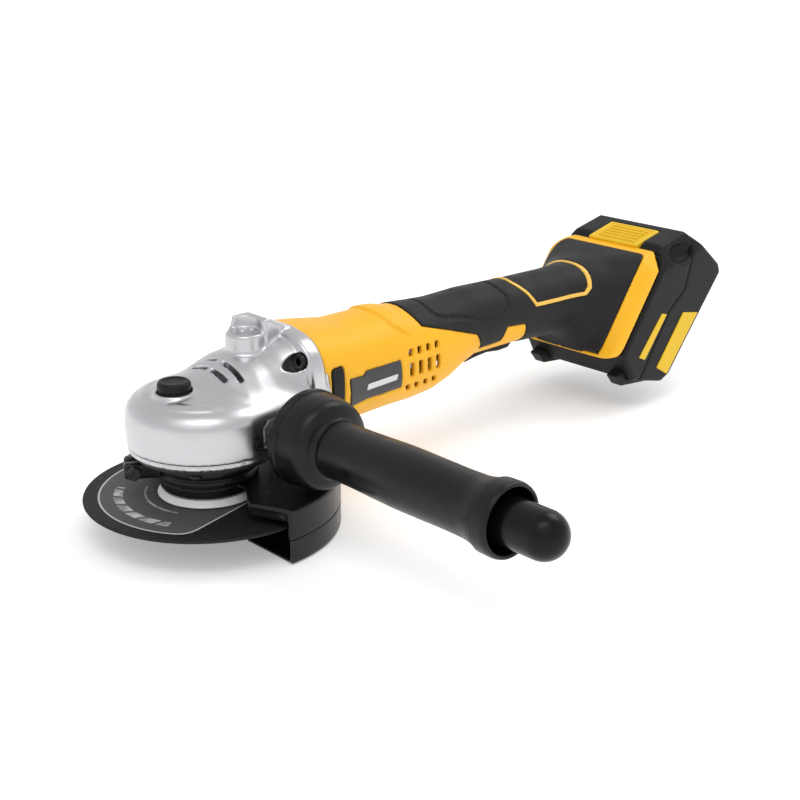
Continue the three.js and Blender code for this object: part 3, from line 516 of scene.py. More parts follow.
add_look("black_plastic", (0.011, 0.011, 0.0115), 0.44, shine=0.16, grain=0.03, grain_size=0.45,
         mottle=0.08, rough_spread=0.06, wear=0.3, wear_colour=BLACK_WORN)
add_look("button_yellow", (0.77, 0.49, 0.012), 0.4, shine=0.3, grain=0.015, grain_size=0.5, mottle=0.04,
         wear=0.3, wear_colour=(0.9, 0.68, 0.16))
add_look("copper", (0.72, 0.32, 0.14), 0.35, 1.0, grain=0.12, grain_size=0.8, mottle=0.15,
         mottle_size=4.0, stretch=(0.2, 1.0, 1.0))
add_look("nylon", (0.72, 0.70, 0.64), 0.5, grain=0.02, mottle=0.04)
add_look("cell_wrap", (0.05, 0.22, 0.13), 0.4, grain=0.01, mottle=0.1)

# Looks of single pieces that differ from the rest of their slot.
inlay_look = material("inlay", (0.84, 0.50, 0.08), 0.42, grain=0.012, mottle=0.04)
handle_look = material("handle_rubber", (0.004, 0.004, 0.0042), 0.32, shine=0.28, grain=0.02,
                       grain_size=0.6, mottle=0.1, rough_spread=0.07, wear=0.2,
                       wear_colour=(0.07, 0.07, 0.07))
core_look = material("handle_core_black", (0.0028, 0.0028, 0.003), 0.24, shine=0.2, grain=0.01,
                     grain_size=0.6, mottle=0.1, rough_spread=0.04)
# The flange's near-white matt colour, with no metal, is painted reflection: it keeps the plated steel
# bright in the shade under the case.
flange_painted_reflection_look = material("flange_zinc_painted_reflection", (0.94, 0.94, 0.94), 0.5, grain=0.012, mottle=0.05,
                       rough_spread=0.06)
plate_look = material("name_plate", (0.030, 0.030, 0.031), 0.35, grain=0.012, mottle=0.08)
mark_look = material("plate_mark", (0.62, 0.62, 0.63), 0.35, 0.6, grain=0.01, mottle=0.05)

node_slots = {row["node"]: row["material_slot"] for row in frame["record"]["subparts"]}
for node_name, cad_object in frame["nodes"].items():
    cad_object.data.materials.clear()
    cad_object.data.materials.append(looks[node_slots[node_name]])
    cad_object.data.set_sharp_from_angle(angle=math.radians(32))

# ---------------------------------------------------------------- gear case

# Height of the bowl's top over its distance from the outline in plan.
CASE_TOP = table([[-60, 61.8], [-22, 60.8], [-15, 59.8], [-10, 58.2], [-5.4, 56.2], [0, 52.6], [6, 47.6]],
                 blur=5)
# Sections of the hump: station, centre height, half width, half height, power.
HUMP = table([[-9, 53, 8, 4, 2], [-7, 53, 10, 7, 2], [-3, 53, 17, 10.5, 2.2], [6, 53, 23.5, 15.2, 2.2],
              [14, 52.5, 26, 18.8, 2.1], [22, 52, 27, 20.8, 2.0], [30, 52, 27.8, 23.2, 2.1],
              [36, 52, 28.8, 25.4, 2.6], [48, 52, 29.5, 26.6, 3]], blur=5)
CASE_SCREWS = [(-23, 68), (23, 68), (-23, 36), (23, 36)]
COVER_SCREWS = [(COVER_SCREW_R * math.cos(math.radians(a)), COVER_SCREW_R * math.sin(math.radians(a)))
                for a in (45, 135, 225, 315)]
# Vents on top of the hump: station, middle and half length across.
CASE_VENTS = [(3.2, 7.4, 6.2), (8.7, 10.2, 8.2)]
# Side outline and plan of the raised part behind the top boss.
HOOD = [(20.6, 68), (20.6, 79.4), (22.6, 86.4), (31.5, 86.4), (37, 83.2), (46, 79.6), (46, 68)]
HOOD_PLAN = [(29.6, -8.5), (46, -8.5), (46, 8.5), (20.4, 8.5)]
SIDE_PANEL = [(6.5, 37.8), (6.5, 46.5), (9.5, 49.4), (38, 51.5), (38, 37.8)]
BOSS_DIMPLES = [(19.4, 2.4), (23.4, 0.8), (27.2, -0.8)]


def case_shape(x, y, z):
    """Outside of the casting: the bowl, a hump back to the housing, the bosses and the rear flange."""
    ay = abs(y)
    from_spindle = np.hypot(x, y)
    plan = np.where(x < 0, from_spindle - NOSE, ay - (NOSE - (NOSE - 32) * np.maximum(x, 0) / 44.5))
    wall = plan + 0.008 * np.maximum(z - 42, 0) ** 2 + 0.014 * np.maximum(40 - z, 0) ** 2
    top, = look_up(CASE_TOP, plan)
    turn = np.degrees(np.arctan2(ay, x))
    pad = smoothstep(3.0, 1.2, abs(plan + 9.2)) * smoothstep(106, 122, turn) * smoothstep(168, 152, turn)
    roof = (z - top - 0.55 * pad) * 0.88
    bowl = smooth_max(wall, roof, 3.2)
    bowl = smooth_max(bowl, CASE_SKIRT - z, 0.9)
    bowl = smooth_max(bowl, -np.maximum(from_spindle - 34.4, z - CASE_BOTTOM), 0.4)
    groove = np.hypot(wall + 0.1, z - 34.0) - 0.5
    bowl = np.maximum(bowl, -groove)
    zc, wide, high, power = look_up(HUMP, x)
    hump = superellipse(y, z - zc, wide, high, power) * 0.9
    hump = np.maximum(hump, -9.5 - x)
    d = smooth_min(bowl, hump, 5.0)
    collar = np.hypot(x - LOCK_X, y) - 9.6 - 0.17 * (COLLAR_TOP - z)
    collar = smooth_max(collar, z - COLLAR_TOP, 0.8)
    d = smooth_min(d, np.maximum(collar, 52 - z), 1.2)
    boss = smooth_max(np.hypot(x - TOP_BOSS_X, y) - (9 + (BOSS_TOP - z) * 0.075), z - BOSS_TOP, 1.4)
    boss = np.maximum(boss, 55 - z)
    d = smooth_min(d, boss, 1.8)
    hood = smooth_max(polygon(x, z, HOOD), polygon(x, y, HOOD_PLAN), 1.8)
    cradle = np.maximum(np.hypot(x - 20.8, y + 2.2) - 8.6, BOSS_TOP - z)
    hood = smooth_max(hood, -cradle, 0.8)
    d = smooth_min(d, hood, 1.6)
    flange = superellipse(y, z - MOTOR_AXIS, 31.3, 27.9, 3.0) * 0.9
    flange = smooth_max(flange, slab(x, 37.6, CASE_REAR), 2.2)
    d = smooth_min(d, flange, 1.4)
    side_boss = smooth_max(np.hypot(x - HANDLE_X, z - HANDLE_Z) - 11.5, ay - BOSS_FACE, 0.9)
    d = smooth_min(d, np.maximum(side_boss, 24 - ay), 2.2)
    panel = smooth_max(polygon(x, z, SIDE_PANEL), 34.9 - 0.07 * x - ay, 0.6)
    return np.maximum(d, -np.maximum(panel, -d - 0.75))


def case_cuts(x, y, z):
    """Screw recesses, the gear chamber, the bores for the motor, lock and handle, vents and dimples."""
    ay = abs(y)
    from_spindle = np.hypot(x, y)
    from_lock = np.hypot(x - LOCK_X, y)
    from_motor = np.hypot(y, z - MOTOR_AXIS)
    for screw_y, screw_z in CASE_SCREWS:
        side = np.hypot(y - screw_y, z - screw_z)
        yield np.maximum(side - 0.4 - 3.8 * smoothstep(21, 35, x), slab(x, 21, 40.5))
        yield np.maximum(side - 2.3, 38 - x)
    yield np.maximum(from_spindle - 25.8, z - 49)
    yield np.maximum(from_spindle - 6.3, z - 58.5)
    yield np.maximum(from_motor - 9.6, slab(x, 10, 36))
    yield np.maximum(from_motor - 13.3, 34 - x)
    yield np.maximum(from_lock - 2.4, slab(z, 45, 54))
    yield np.maximum(from_lock - 5.4, slab(z, 51.6, 58))
    yield np.maximum(from_lock - 8.1, 53.4 - z)
    yield np.maximum(np.hypot(x - HANDLE_X, z - HANDLE_Z) - 4.2, 30.5 - ay)
    for vent_x, middle, half in CASE_VENTS:
        across = x - vent_x + 0.07 * (ay - middle)
        yield np.maximum(rounded_box(across, ay - middle, z * 0, (1.3, half, 9), 1.2), 61 - z)
    for dimple_x, dimple_y in BOSS_DIMPLES:
        yield np.sqrt((x - dimple_x) ** 2 + (y - dimple_y) ** 2 + (z - BOSS_TOP - 0.4) ** 2) - 1.15
    for screw_x, screw_y in COVER_SCREWS:
        yield np.maximum(np.hypot(x - screw_x, y - screw_y) - 1.9, z - 42)


def case_field(x, y, z):
    """The casting with everything cut from it."""
    d = case_shape(x, y, z)
    for cut in case_cuts(x, y, z):
        d = smooth_max(d, -cut, 0.5)
    return d


field_piece("gear_case_casting", case_field, (-38, -44, 31), (48, 44, 89), 0.75,
            "head", "cast_case", ["gear_case"])

# ---------------------------------------------------------------- body shells

# Sections of the body: station, axis height, lean, half width, half height, power.
BODY = table([
    [46.8, 52, 0, 30.2, 26.9, 2.9], [60, 51.8, 0, 28.2, 26.0, 2.6], [76, 51, 0, 26.2, 24.8, 2.3],
    [98, 51.4, 0, 25.6, 25.0, 2.1], [116, 50.8, 0, 24.6, 24.8, 2], [130, 50.8, 0, 23.4, 23.8, 2],
    [142, 52.2, 0, 21.6, 21.8, 2], [152, 54.6, 0, 19.8, 19.8, 2], [164, 57, 0, 18.0, 18.0, 2],
    [200, 56.6, 0, 17.4, 17.4, 2], [232, 55.6, 0, 17.9, 18.0, 2], [243, 54.2, 0.18, 20, 20, 2.2],
    [253, 52.9, 0.42, 27.2, 25.2, 2.9], [259, 52.7, 0.56, 33.5, 29.8, 6],
    [262, 52.6, SLIDE_TILT, 36.8, 32.0, 11], [270, 52.6, SLIDE_TILT, 37.6, 32.4, 13]], blur=6)
# Side outlines: the rubber grip's edge, the raised front part, and the lines on the grip.
RUBBER = [(112, 100), (115.5, 77), (116, 73.5), (118.6, 67.5), (135.7, 62.5), (157, 55.7), (162.4, 48.6),
          (163, 45.6), (179, 46.2), (181, 54.6), (196, 53.2), (199.5, 45), (200.5, 30), (330, -20),
          (330, 110)]
STEP_UP = [(92.3, 92), (94.0, 78), (96.4, 76.6), (99.4, 71.2), (105.5, 67), (111, 63.2), (140, 63),
           (140, 92)]
PAD_GROOVE = [(130.4, 90), (129.8, 75), (129.4, 72.5), (131.2, 69.6), (136, 67.8), (150.1, 65.4),
              (162, 62), (171.4, 60.9), (178.8, 62.5), (183.4, 65), (184.8, 69), (182.4, 73), (180, 90)]
INLAY = [(195.4, 90), (195.4, 73.4), (196.6, 72.4), (200.2, 68.4), (204, 61.9), (222.9, 61.5),
         (241.7, 61.5), (245.2, 64.2), (247.4, 69.6), (248.4, 73.4), (248.6, 90)]
NAME_PLATE = [(63.0, 55.0), (72.2, 54.3), (74.6, 56.1), (98.0, 56.4), (99.8, 41.0), (76.8, 41.0),
              (64, 39.8)]
HOUSING_SCREWS = [(137, 38), (136, 67.5), (208, 57), (236, 56)]
# Rows of vent slots: bottom, top, slant.
VENT_ROWS = [(38.2, 41.6, -0.55), (45.6, 52.8, -0.08), (56.0, 59.6, 0.22)]
VENT_START, VENT_STEP = 105.8, 6.3
# Tall openings in the sides: front, back, top.
SIDE_OPENINGS = [(50.7, 59.6, 62.4), (45, 48.9, 61.4)]
STRIPE_BEHIND_FOOT = 3.6
LEAN_RATE = (BODY[0], [np.gradient(BODY[1][1], BODY[0])])


def body_frame(x, z):
    """Station along the body, height above its axis and section sizes, following the foot's lean."""
    s = x
    for _ in range(6):
        zc, lean = look_up(BODY, s)[:2]
        rate, = look_up(LEAN_RATE, s)
        up = (z - zc) / np.cos(lean)
        error = s + up * np.sin(lean) - x
        s = s - np.clip(error / np.maximum(1 + up * rate, 0.3), -8, 8)
    zc, lean, wide, high, power = look_up(BODY, s)
    return s, (z - zc) / np.cos(lean), wide, high, power


def foot_depth(x, z):
    """Distance in front of the plane where the foot meets the battery."""
    return -((x - FOOT[0]) * math.cos(SLIDE_TILT) - (z - FOOT[1]) * math.sin(SLIDE_TILT))


def body_field(x, y, z, grow=0.0):
    """Outside of the whole body, with its corners cut at the foot and its front part raised."""
    s, up, wide, high, power = body_frame(x, z)
    d = superellipse(y, up, wide, high, power) * 0.92 - grow
    corner = 0.768 * abs(y) + 0.64 * up - 43.4 + 7 * smoothstep(262, 250, s)
    d = smooth_max(d, np.where(s > 246, corner, -5.0), 0.7)
    raised = smoothstep(0.5, -1.3, polygon(x, z, STEP_UP)) * smoothstep(112, 104, x)
    return d - 1.15 * raised


def trigger_gap(x, y, z):
    """The slot under the grip that the trigger and the catch move in."""
    return np.maximum(np.maximum(slab(x, 146.5, 198.5), abs(y) - 7.2), z - 46.5)


def parted(d, outer, y):
    """Cuts the fine line where the left and right halves meet."""
    return smooth_max(d, -(np.hypot(outer, y) - 0.28), 0.2)


def with_screw_recesses(d, x, y, z, screws):
    """Sinks the heads of the screws that hold the halves together, on the left side."""
    for screw_x, screw_z in screws:
        d = smooth_max(d, -np.maximum(np.hypot(x - screw_x, z - screw_z) - 3.2, 13 - y), 0.4)
    return d


def housing_field(x, y, z):
    """The yellow shell, with its vents, side openings and the seats of its name plates."""
    outer = body_field(x, y, z)
    d = np.maximum(outer, -(outer + 2.6))
    d = smooth_max(d, -(polygon(x, z, RUBBER) - 0.25), 0.5)
    d = smooth_max(d, 46.8 - x, 0.4)
    d = smooth_max(d, -trigger_gap(x, y, z), 0.5)
    ay = abs(y)
    for i in range(4):
        for low, high, lean in VENT_ROWS:
            slot_z = 0.5 * (low + high)
            vent_x = VENT_START + VENT_STEP * i - 0.14 * (slot_z - 49) * lean
            slot = rounded_box(x - vent_x - lean * (z - slot_z), z - slot_z, y * 0,
                               (1.5, 0.5 * (high - low), 9), 0.6)
            d = smooth_max(d, -np.maximum(slot, 12 - ay), 0.5)
    for low_x, high_x, top in SIDE_OPENINGS:
        mid = 0.5 * (low_x + high_x)
        slot = rounded_box(x - mid, z - top + 14, y * 0, (0.5 * (high_x - low_x), 14, 9), 2.2)
        d = smooth_max(d, -np.maximum(slot, 22 - ay), 0.4)
    plate = polygon(x, z, NAME_PLATE)
    d = np.maximum(d, -np.maximum(np.maximum(plate, 18 - ay), -outer - 0.7))
    return with_screw_recesses(parted(d, outer, y), x, y, z, HOUSING_SCREWS[:1])


def grip_field(x, y, z):
    """The soft black shell, with the groove and the lane of the yellow line."""
    outer = body_field(x, y, z, 0.45)
    for path, width, depth in ((PAD_GROOVE, 0.8, 0.8), (INLAY, 1.05, 0.65)):
        near = polyline(x, z, path) - width
        lane = np.maximum(near, -outer - depth)
        outer = smooth_max(outer, -lane, 0.5)
    sheet = 2.9 + 6 * smoothstep(226, 242, x)
    d = np.maximum(outer, -(outer + sheet))
    d = smooth_max(d, polygon(x, z, RUBBER), 0.9)
    d = smooth_max(d, stripe_front(x, y, z), 0.5)
    d = smooth_max(d, -trigger_gap(x, y, z), 0.5)
    return with_screw_recesses(parted(d, outer, y), x, y, z, HOUSING_SCREWS[1:])


def stripe_front(x, y, z):
    """Positive behind the front edge of the yellow stripe round the foot."""
    depth = foot_depth(x, z)
    band = 3.0 + 7.5 * smoothstep(27, 35, abs(y)) * smoothstep(14, 30, z)
    return band - depth


def stripe_field(x, y, z):
    """The yellow band round the foot, where the battery slides on."""
    outer = body_field(x, y, z, 0.5)
    d = np.maximum(outer, -(outer + 9.0))
    d = smooth_max(d, -stripe_front(x, y, z) + 0.3, 0.4)
    return smooth_max(d, 2 * GAP - STRIPE_BEHIND_FOOT - foot_depth(x, z), 0.7)


def inlay_field(x, y, z):
    outer = body_field(x, y, z, 0.45)
    return smooth_max(smooth_max(outer - 0.3, -outer - 1.2, 0.3), polyline(x, z, INLAY) - 0.95, 0.3)


def plate_field(x, y, z):
    outer = body_field(x, y, z)
    outline = polygon(x, z, NAME_PLATE) + 0.35
    return smooth_max(smooth_max(outer - 0.15, -outer - 1.2, 0.2), np.maximum(outline, 16 - abs(y)), 0.5)


def mark_field(x, y, z):
    outer = body_field(x, y, z)
    lean = 0.03 * (x - 86)
    bar = rounded_box(x - 85 - 0.25 * (z - 48), z - 48 - lean, y * 0, (10, 1.5, 40), 0.5)
    return smooth_max(smooth_max(outer - 0.42, -outer - 0.3, 0.15), np.maximum(bar, 16 - abs(y)), 0.2)


def insert_field(x, y, z):
    """The black insert inside the tall side opening."""
    outer = body_field(x, y, z)
    front = rounded_box(x - 55.1, z - 48, y * 0, (4.1, 14, 40), 2.0)
    d = smooth_max(front, 21.5 - abs(y), 0.4)
    return smooth_max(smooth_max(outer - 0.35, -outer - 2.2, 0.4), d, 0.5)


field_piece("housing_shell", housing_field, (45, -33, 22), (204, 33, 82), 0.95,
            "head", "yellow_plastic", ["housing_left", "housing_right"])
field_piece("grip_overmould", grip_field, (110, -41, 18), (288, 41, 84), 0.95,
            "head", "black_rubber", ["grip_left", "grip_right"])
field_piece("foot_stripe_ring", stripe_field, (236, -41, 16), (292, 41, 84), 0.9,
            "head", "yellow_plastic", ["foot_stripe"])
field_piece("grip_inlay_line", inlay_field, (186, -21, 56), (254, 21, 80), 0.55,
            "head", "yellow_plastic",
            look=inlay_look)
for side_name, y0, y1 in (("left", -31, -16), ("right", 16, 31)):
    field_piece(f"name_plate_{side_name}", plate_field, (62, y0, 37), (101, y1, 59), 0.55,
                "head", "black_plastic",
                look=plate_look)
    field_piece(f"plate_bar_{side_name}", mark_field, (73, y0, 43), (98, y1, 53), 0.4,
                "head", "bright_steel",
                look=mark_look)
    field_piece(f"vent_insert_{side_name}", insert_field, (50, y0, 30), (61, y1, 64), 0.55,
                "head", "black_plastic")

# ---------------------------------------------------------------- controls


def trigger_field(x, y, z):
    side = polygon(x, z, [(163, 47), (196, 47), (197.6, 40), (194.5, 37.0), (187, 36.6), (178, 37.6),
                          (169, 36.8), (161.5, 35.6), (160, 38), (160.6, 44)])
    d = smooth_max(side + 0.4, abs(y) - 6.7, 2.6)
    return smooth_max(d, -(np.hypot(x - TRIGGER_PIN[0], z - TRIGGER_PIN[1]) - 1.7), 0.3)


def catch_field(x, y, z):
    side = polygon(x, z, [(148.5, 45.5), (158.7, 45.5), (158.9, 38), (157.2, 34.8), (150.6, 36.8)])
    return smooth_max(side + 0.2, abs(y) - 6.3, 1.8)


field_piece("trigger_shell", trigger_field, (158, -8, 34), (199, 8, 48), 0.6,
            "trigger_lever", "black_plastic", ["trigger"])
field_piece("safety_paddle", catch_field, (147, -8, 33), (160, 8, 47), 0.5,
            "safety", "black_plastic", ["safety_catch"])

# ---------------------------------------------------------------- guard


def arc(radius, start, end, steps=60):
    angles = [start + (end - start) * i / steps for i in range(steps + 1)]
    return [(radius * math.cos(a), radius * math.sin(a)) for a in angles]


GUARD_ARC = arc(GUARD_R, GUARD_NEAR, GUARD_FAR)
SHELL_PLAN = GUARD_ARC + [(-6.5, 42.3), (-9.2, 21.7), (2, -26), (-4, -35), (-8, -43)]
NEAR_LIP = [(-3.2, -35.4), (-7.2, -43), (0.8, -60)]
FAR_LIP = [(-6.7, 34.5), (-5.7, 42.3), (9.8, 59)]
COVER_PLAN = GUARD_ARC + [(0.1, 57.1)] + arc(NOTCH, math.pi / 2, -math.pi / 2, 24) + [(0, -58)]


def guard_field(x, y, z):
    """Upper half of the guard: top, skirt, collar rim and the two folded lips."""
    r = np.hypot(x, y)
    outer = smooth_max(polygon(x, y, SHELL_PLAN), z - GUARD_TOP, 2.2)
    inner = smooth_max(r - GUARD_R + GUARD_SHEET, z - GUARD_TOP + GUARD_SHEET, 1.4)
    d = np.maximum(outer, -inner)
    d = smooth_max(d, GUARD_SEAM - z, 0.4)
    rim = smooth_max(r - RIM_R, slab(z, RIM_BOTTOM, GUARD_TOP), 0.4)
    d = smooth_min(d, rim, 0.6)
    edge = np.minimum(polyline(x, y, NEAR_LIP), polyline(x, y, FAR_LIP))
    lip = smooth_max(edge - 0.5 * GUARD_SHEET, slab(z, LIP_BOTTOM, GUARD_TOP - 0.6), 0.5)
    d = smooth_min(d, lip, 1.0)
    return smooth_max(d, NECK + GAP - r, 0.4)


def cover_field(x, y, z):
    """The clip-on half that closes the guard from below."""
    r = np.hypot(x, y)
    outer = smooth_max(polygon(x, y, COVER_PLAN), GUARD_BOTTOM - z, 2.2)
    inner = smooth_max(r - GUARD_R + GUARD_SHEET, GUARD_BOTTOM + GUARD_SHEET - z, 1.4)
    d = np.maximum(outer, -inner)
    return smooth_max(d, z - GUARD_SEAM + GAP, 0.4)


def collar_field(x, y, z):
    """The clamp band on the neck, with its grooved edge, its two ears and the slit between them."""
    r = np.hypot(x, y)
    u = x * math.cos(CLAMP_TURN) + y * math.sin(CLAMP_TURN)
    v = -x * math.sin(CLAMP_TURN) + y * math.cos(CLAMP_TURN)
    band = smooth_max(np.maximum(r - 23.4, 15 - r), slab(z, GUARD_TOP + GAP, BAND_TOP), 1.0)
    band = smooth_max(band, -(np.hypot(r - 23.6, z - CLAMP_HEIGHT) - 0.9), 0.4)
    ears = rounded_box(u - 30, abs(v) - 3.85, z - 22.1, (8.0, 2.65, 3.8), 1.6)
    d = smooth_min(band, ears, 1.2)
    slit = np.maximum(abs(v) - 1.2, 15 - u)
    d = smooth_max(d, -slit, 0.4)
    d = smooth_max(d, -(np.hypot(u - CLAMP_REACH, z - CLAMP_HEIGHT) - 2.2), 0.3)
    return smooth_max(d, NECK + GAP - r, 0.3)


field_piece("guard_top", guard_field, (-24, -63, 2), (63, 63, 20), 0.75,
            "guard", "black_steel", ["guard_shell"])
field_piece("guard_clip_cover", cover_field, (-2, -63, -10), (63, 63, 4), 0.75,
            "guard", "black_steel", ["guard_cover"])
field_piece("guard_band", collar_field, (-40, -26, 16), (26, 34, 28), 0.6,
            "guard", "black_steel", ["guard_collar"])

# ---------------------------------------------------------------- turned pieces

CENTRE = place_z(0, 0)
HANDLE = place_minus_y(HANDLE_X, HANDLE_Z)

# Profiles of (radius, height) points, some with a fillet of their own.
DISC = [(11.15, 7.2), (24, 7.2), (25.5, 7.4), (56.9, 7.4), (57.5, 7.9), (57.4, 8.5), (56.8, 8.8),
        (25.5, 8.8), (24, 8.6), (11.15, 8.6), (11.15, 7.2)]
FLANGE = [(7.4, 7.5), (10.8, 7.5), (10.8, 9.1), (FLANGE_R, 9.1), (FLANGE_R, 9.7), (21.2, 12), (12, 12.3),
          (10.2, 12.6), (10, 14.7), (7.4, 14.7), (7.4, 7.5)]
THREAD = [(7 if i % 2 else 6.3, 1.4 + 0.75 * i) for i in range(18)]
SPINDLE = ([(0, 0), (6.2, 0), (7, 0.8)] + THREAD
           + [(7, 15), (9, 15), (9, 18.6), (5.8, 18.6), (5.8, 31), (7.2, 31), (7.2, 36.5), (6.5, 36.5),
              (6.5, 44.5), (3.8, 46), (3.8, 57.5), (0, 57.5)])
BEARING_COVER = [(10.5, 14.6), (13.5, 14.6), (14, 15.1), (15, 15.1), (15.5, 14.6), (18.8, 14.6),
                 (NECK, 15.4), (NECK, 29), (33, 29), (33, 31.4), (32.2, 32.2), (16.2, 32.2), (16.2, 18.8),
                 (10.5, 18.8), (10.5, 14.6)]
LOCK_CAP = [(0, 55.2), (2.6, 55.2), (2.6, 57.2), (7.3, 57.2), (7.55, 58), (7.55, 60.4), (7.3, 60.7),
            (7.3, 61.3), (7.6, 61.6), (7.6, 64.4, 1.0), (6.6, 65.55, 0.8), (5.6, 65.5, 0.8),
            (4.6, 64.9, 1.0), (0, 64.8)]
SLEEVE_FLANGE = [(4.4, 42.3), (22.0, 42.3, 0.5), (22.3, 43.0, 0.5), (22.3, 45.2, 0.6), (21.2, 46.0, 0.4),
                 (21.2, 47.4, 0.4), (21.8, 47.9, 0.4), (21.5, 52, 1), (20.8, 57.6, 2), (19.4, 60.4, 2),
                 (16.6, 62.0, 1), (14.4, 62.6, 0.8), (13.2, 64.0, 0.3), (12.9, 64.0, 0.3)]
SLEEVE_TUBE = [(12.9, 65.0, 0.4), (13.3, 65.6, 0.5), (13.0, 69, 2), (13.0, 80, 3), (13.8, 108, 8),
               (13.3, 140, 8), (13.6, 151, 4), (15.0, 157.4, 1.5), (15.0, 158.2, 0.4), (15.9, 159.0, 0.5),
               (16.1, 165.6, 0.8), (15.5, 167.7, 0.8), (14.6, 168.0, 0.5), (13.8, 167.2, 0.5)]
SLEEVE_BORE = [(13.6, 154), (12, 124), (10.4, 114), (10.4, 61.6), (4.4, 61.6), (4.4, 42.3)]
DOME_R, DOME_CENTRE = 10.3, 184
DOME = [(DOME_R * math.cos(math.radians(a)), DOME_CENTRE + DOME_R * math.sin(math.radians(a)))
        for a in range(0, 90, 6)]
HANDLE_CORE = ([(4.3, 62), (10, 62), (10, 118), (DOME_R, 122), (DOME_R, 170)] + DOME
               + [(0, 194.3), (0, 72.4), (4.3, 72.4), (4.3, 62)])

lathe_piece("disc_plate", DISC, CENTRE, "output", "abrasive", ["cutting_disc"], 160, 0.2)
lathe_piece("flange_inner", FLANGE, CENTRE, "output", "bright_steel",
            ["inner_flange"], 96, 0.35, flange_painted_reflection_look)
lathe_piece("spindle_shaft", SPINDLE, CENTRE, "output", "steel", ["spindle"], 64, 0.12)
lathe_piece("cover_of_bearing", BEARING_COVER, CENTRE, "head", "black_steel",
            ["bearing_cover"], 96, 0.4)
lathe_piece("lock_cap", LOCK_CAP, place_z(LOCK_X, 0), "spindle_lock", "black_plastic",
            ["lock_button"], 72, 0.3)
lathe_piece("handle_sleeve", SLEEVE_FLANGE + SLEEVE_TUBE + SLEEVE_BORE, HANDLE, "head", "black_rubber",
            ["handle_grip"], 112, 0.4, handle_look, 40)
lathe_piece("handle_inner", HANDLE_CORE, HANDLE, "head", "black_plastic",
            ["handle_core"], 80, 0.6, core_look, 40)

# ---------------------------------------------------------------- screws


def screw_surface(shank, length, head, height):
    """A socket-head screw along +Z, with the underside of its head at 0."""
    def field(x, y, z):
        r = np.hypot(x, y)
        top = smooth_max(r - head, slab(z, -height, 0), 0.7)
        stem = smooth_max(r - shank, slab(z, -0.5, length), 0.4)
        hexagon = np.maximum(abs(x), 0.5 * abs(x) + 0.866 * abs(y)) - 0.46 * head
        socket = np.maximum(hexagon, z + 0.35 * height)
        return smooth_max(np.minimum(top, stem), -socket, 0.25)
    half = head + 1
    return surface(field, (-half, -half, -height - 1), (half, half, length + 1), 0.42)


def add_screws(name, shape, places, body):
    points, faces = shape
    for i, (matrix, offset) in enumerate(places):
        placed = points @ np.array(matrix, float) + np.array(offset, float)
        add_piece(f"{name}_{i + 1}_socket", placed, faces, body, "black_steel", [f"{name}_{i + 1}"])


ALONG_X = [[0, 1, 0], [0, 0, 1], [1, 0, 0]]
ALONG_Z = [[1, 0, 0], [0, 1, 0], [0, 0, 1]]
INTO_MINUS_Y = [[1, 0, 0], [0, 0, 1], [0, -1, 0]]

add_screws("case_screw", screw_surface(2, 14, 3.9, 4),
           [(ALONG_X, (CASE_SCREW_SEAT, y, z)) for y, z in CASE_SCREWS], "head")
add_screws("cover_screw", screw_surface(1.6, 12, 2.8, 2.2),
           [(ALONG_Z, (x, y, 28.7)) for x, y in COVER_SCREWS], "head")
add_screws("housing_screw", screw_surface(1.4, 23, 2.8, 2.2),
           [(INTO_MINUS_Y, (x, 13.3, z)) for x, z in HOUSING_SCREWS], "head")


def nut_field(x, y, z):
    r = np.hypot(x, y)
    d = smooth_max(r - 20, slab(z, 4.3, 6.9), 0.5)
    d = smooth_min(d, smooth_max(r - 13, slab(z, 1.2, 6), 0.5), 0.6)
    d = smooth_max(d, -(np.hypot(abs(x) - 11, abs(y) - 11) - 2.2), 0.3)
    return smooth_max(d, 7.4 - r, 0.4)


field_piece("flange_nut_body", nut_field, (-22, -22, 0), (22, 22, 8), 0.6,
            "output", "black_steel", ["flange_nut"])

# ---------------------------------------------------------------- battery

# Side outlines of the battery, its parting line and its bars.
PACK_SIDE = [(263, 10.4), (290, 4), (297, 7), (340.5, 60), (338.5, 65.5), (326, 75.8), (312, 87.4),
             (286.4, 81.4), (289, 77), (254, 27)]
SEAM = [(268, -20), (268, 8), (293, 46), (306, 56), (318, 95)]
IN_FRONT_OF_SEAM = [(200, -20)] + SEAM + [(200, 95)]
WIDE_BAR = [(284, 13.8), (293.7, 8), (319.6, 39.8), (306, 42.4)]
NARROW_BAR = [(267.5, 23.2), (272.8, 20.8), (290.8, 44.2), (286.2, 45.4)]
BUTTON = (296.6, 82.0)
BUTTON_TILT = 0.245


def slide_frame(x, z):
    """Coordinates at the foot: back from it, and up along the battery's slide."""
    dx, dz = x - FOOT[0], z - FOOT[1]
    c, s = math.cos(SLIDE_TILT), math.sin(SLIDE_TILT)
    return dx * c - dz * s, dx * s + dz * c


def button_frame(x, z):
    dx, dz = x - BUTTON[0], z - BUTTON[1]
    c, s = math.cos(BUTTON_TILT), math.sin(BUTTON_TILT)
    return dx * c + dz * s, dz * c - dx * s


def pack_field(x, y, z):
    ay = abs(y)
    d = smooth_max(polygon(x, z, PACK_SIDE), ay - PACK_HALF, 2.4)
    top = 75 + 0.2236 * (x - 250)
    d = smooth_max(d, 0.837 * (ay - 30) + 0.547 * (z - top), 1.2)
    d = smooth_max(d, 4.1 - slide_frame(x, z)[0], 1.0)
    scoop = np.sqrt(((x - 303) / 10) ** 2 + ((ay - 37) / 6) ** 2 + ((z - 78) / 6.5) ** 2)
    return smooth_max(d, -(scoop - 1) * 5, 1.0)


def pack_cuts(d, x, y, z):
    """Hollows the case for the cells and for the release button."""
    back_of, up = slide_frame(x, z)
    along, above = button_frame(x, z)
    d = smooth_max(d, -rounded_box(back_of - 27, y, up + 2.5, (14, 31, 24.5), 1.0), 0.3)
    return smooth_max(d, -rounded_box(along, y, above + 2.2, (11.4, 18, 6), 1.2), 0.4)


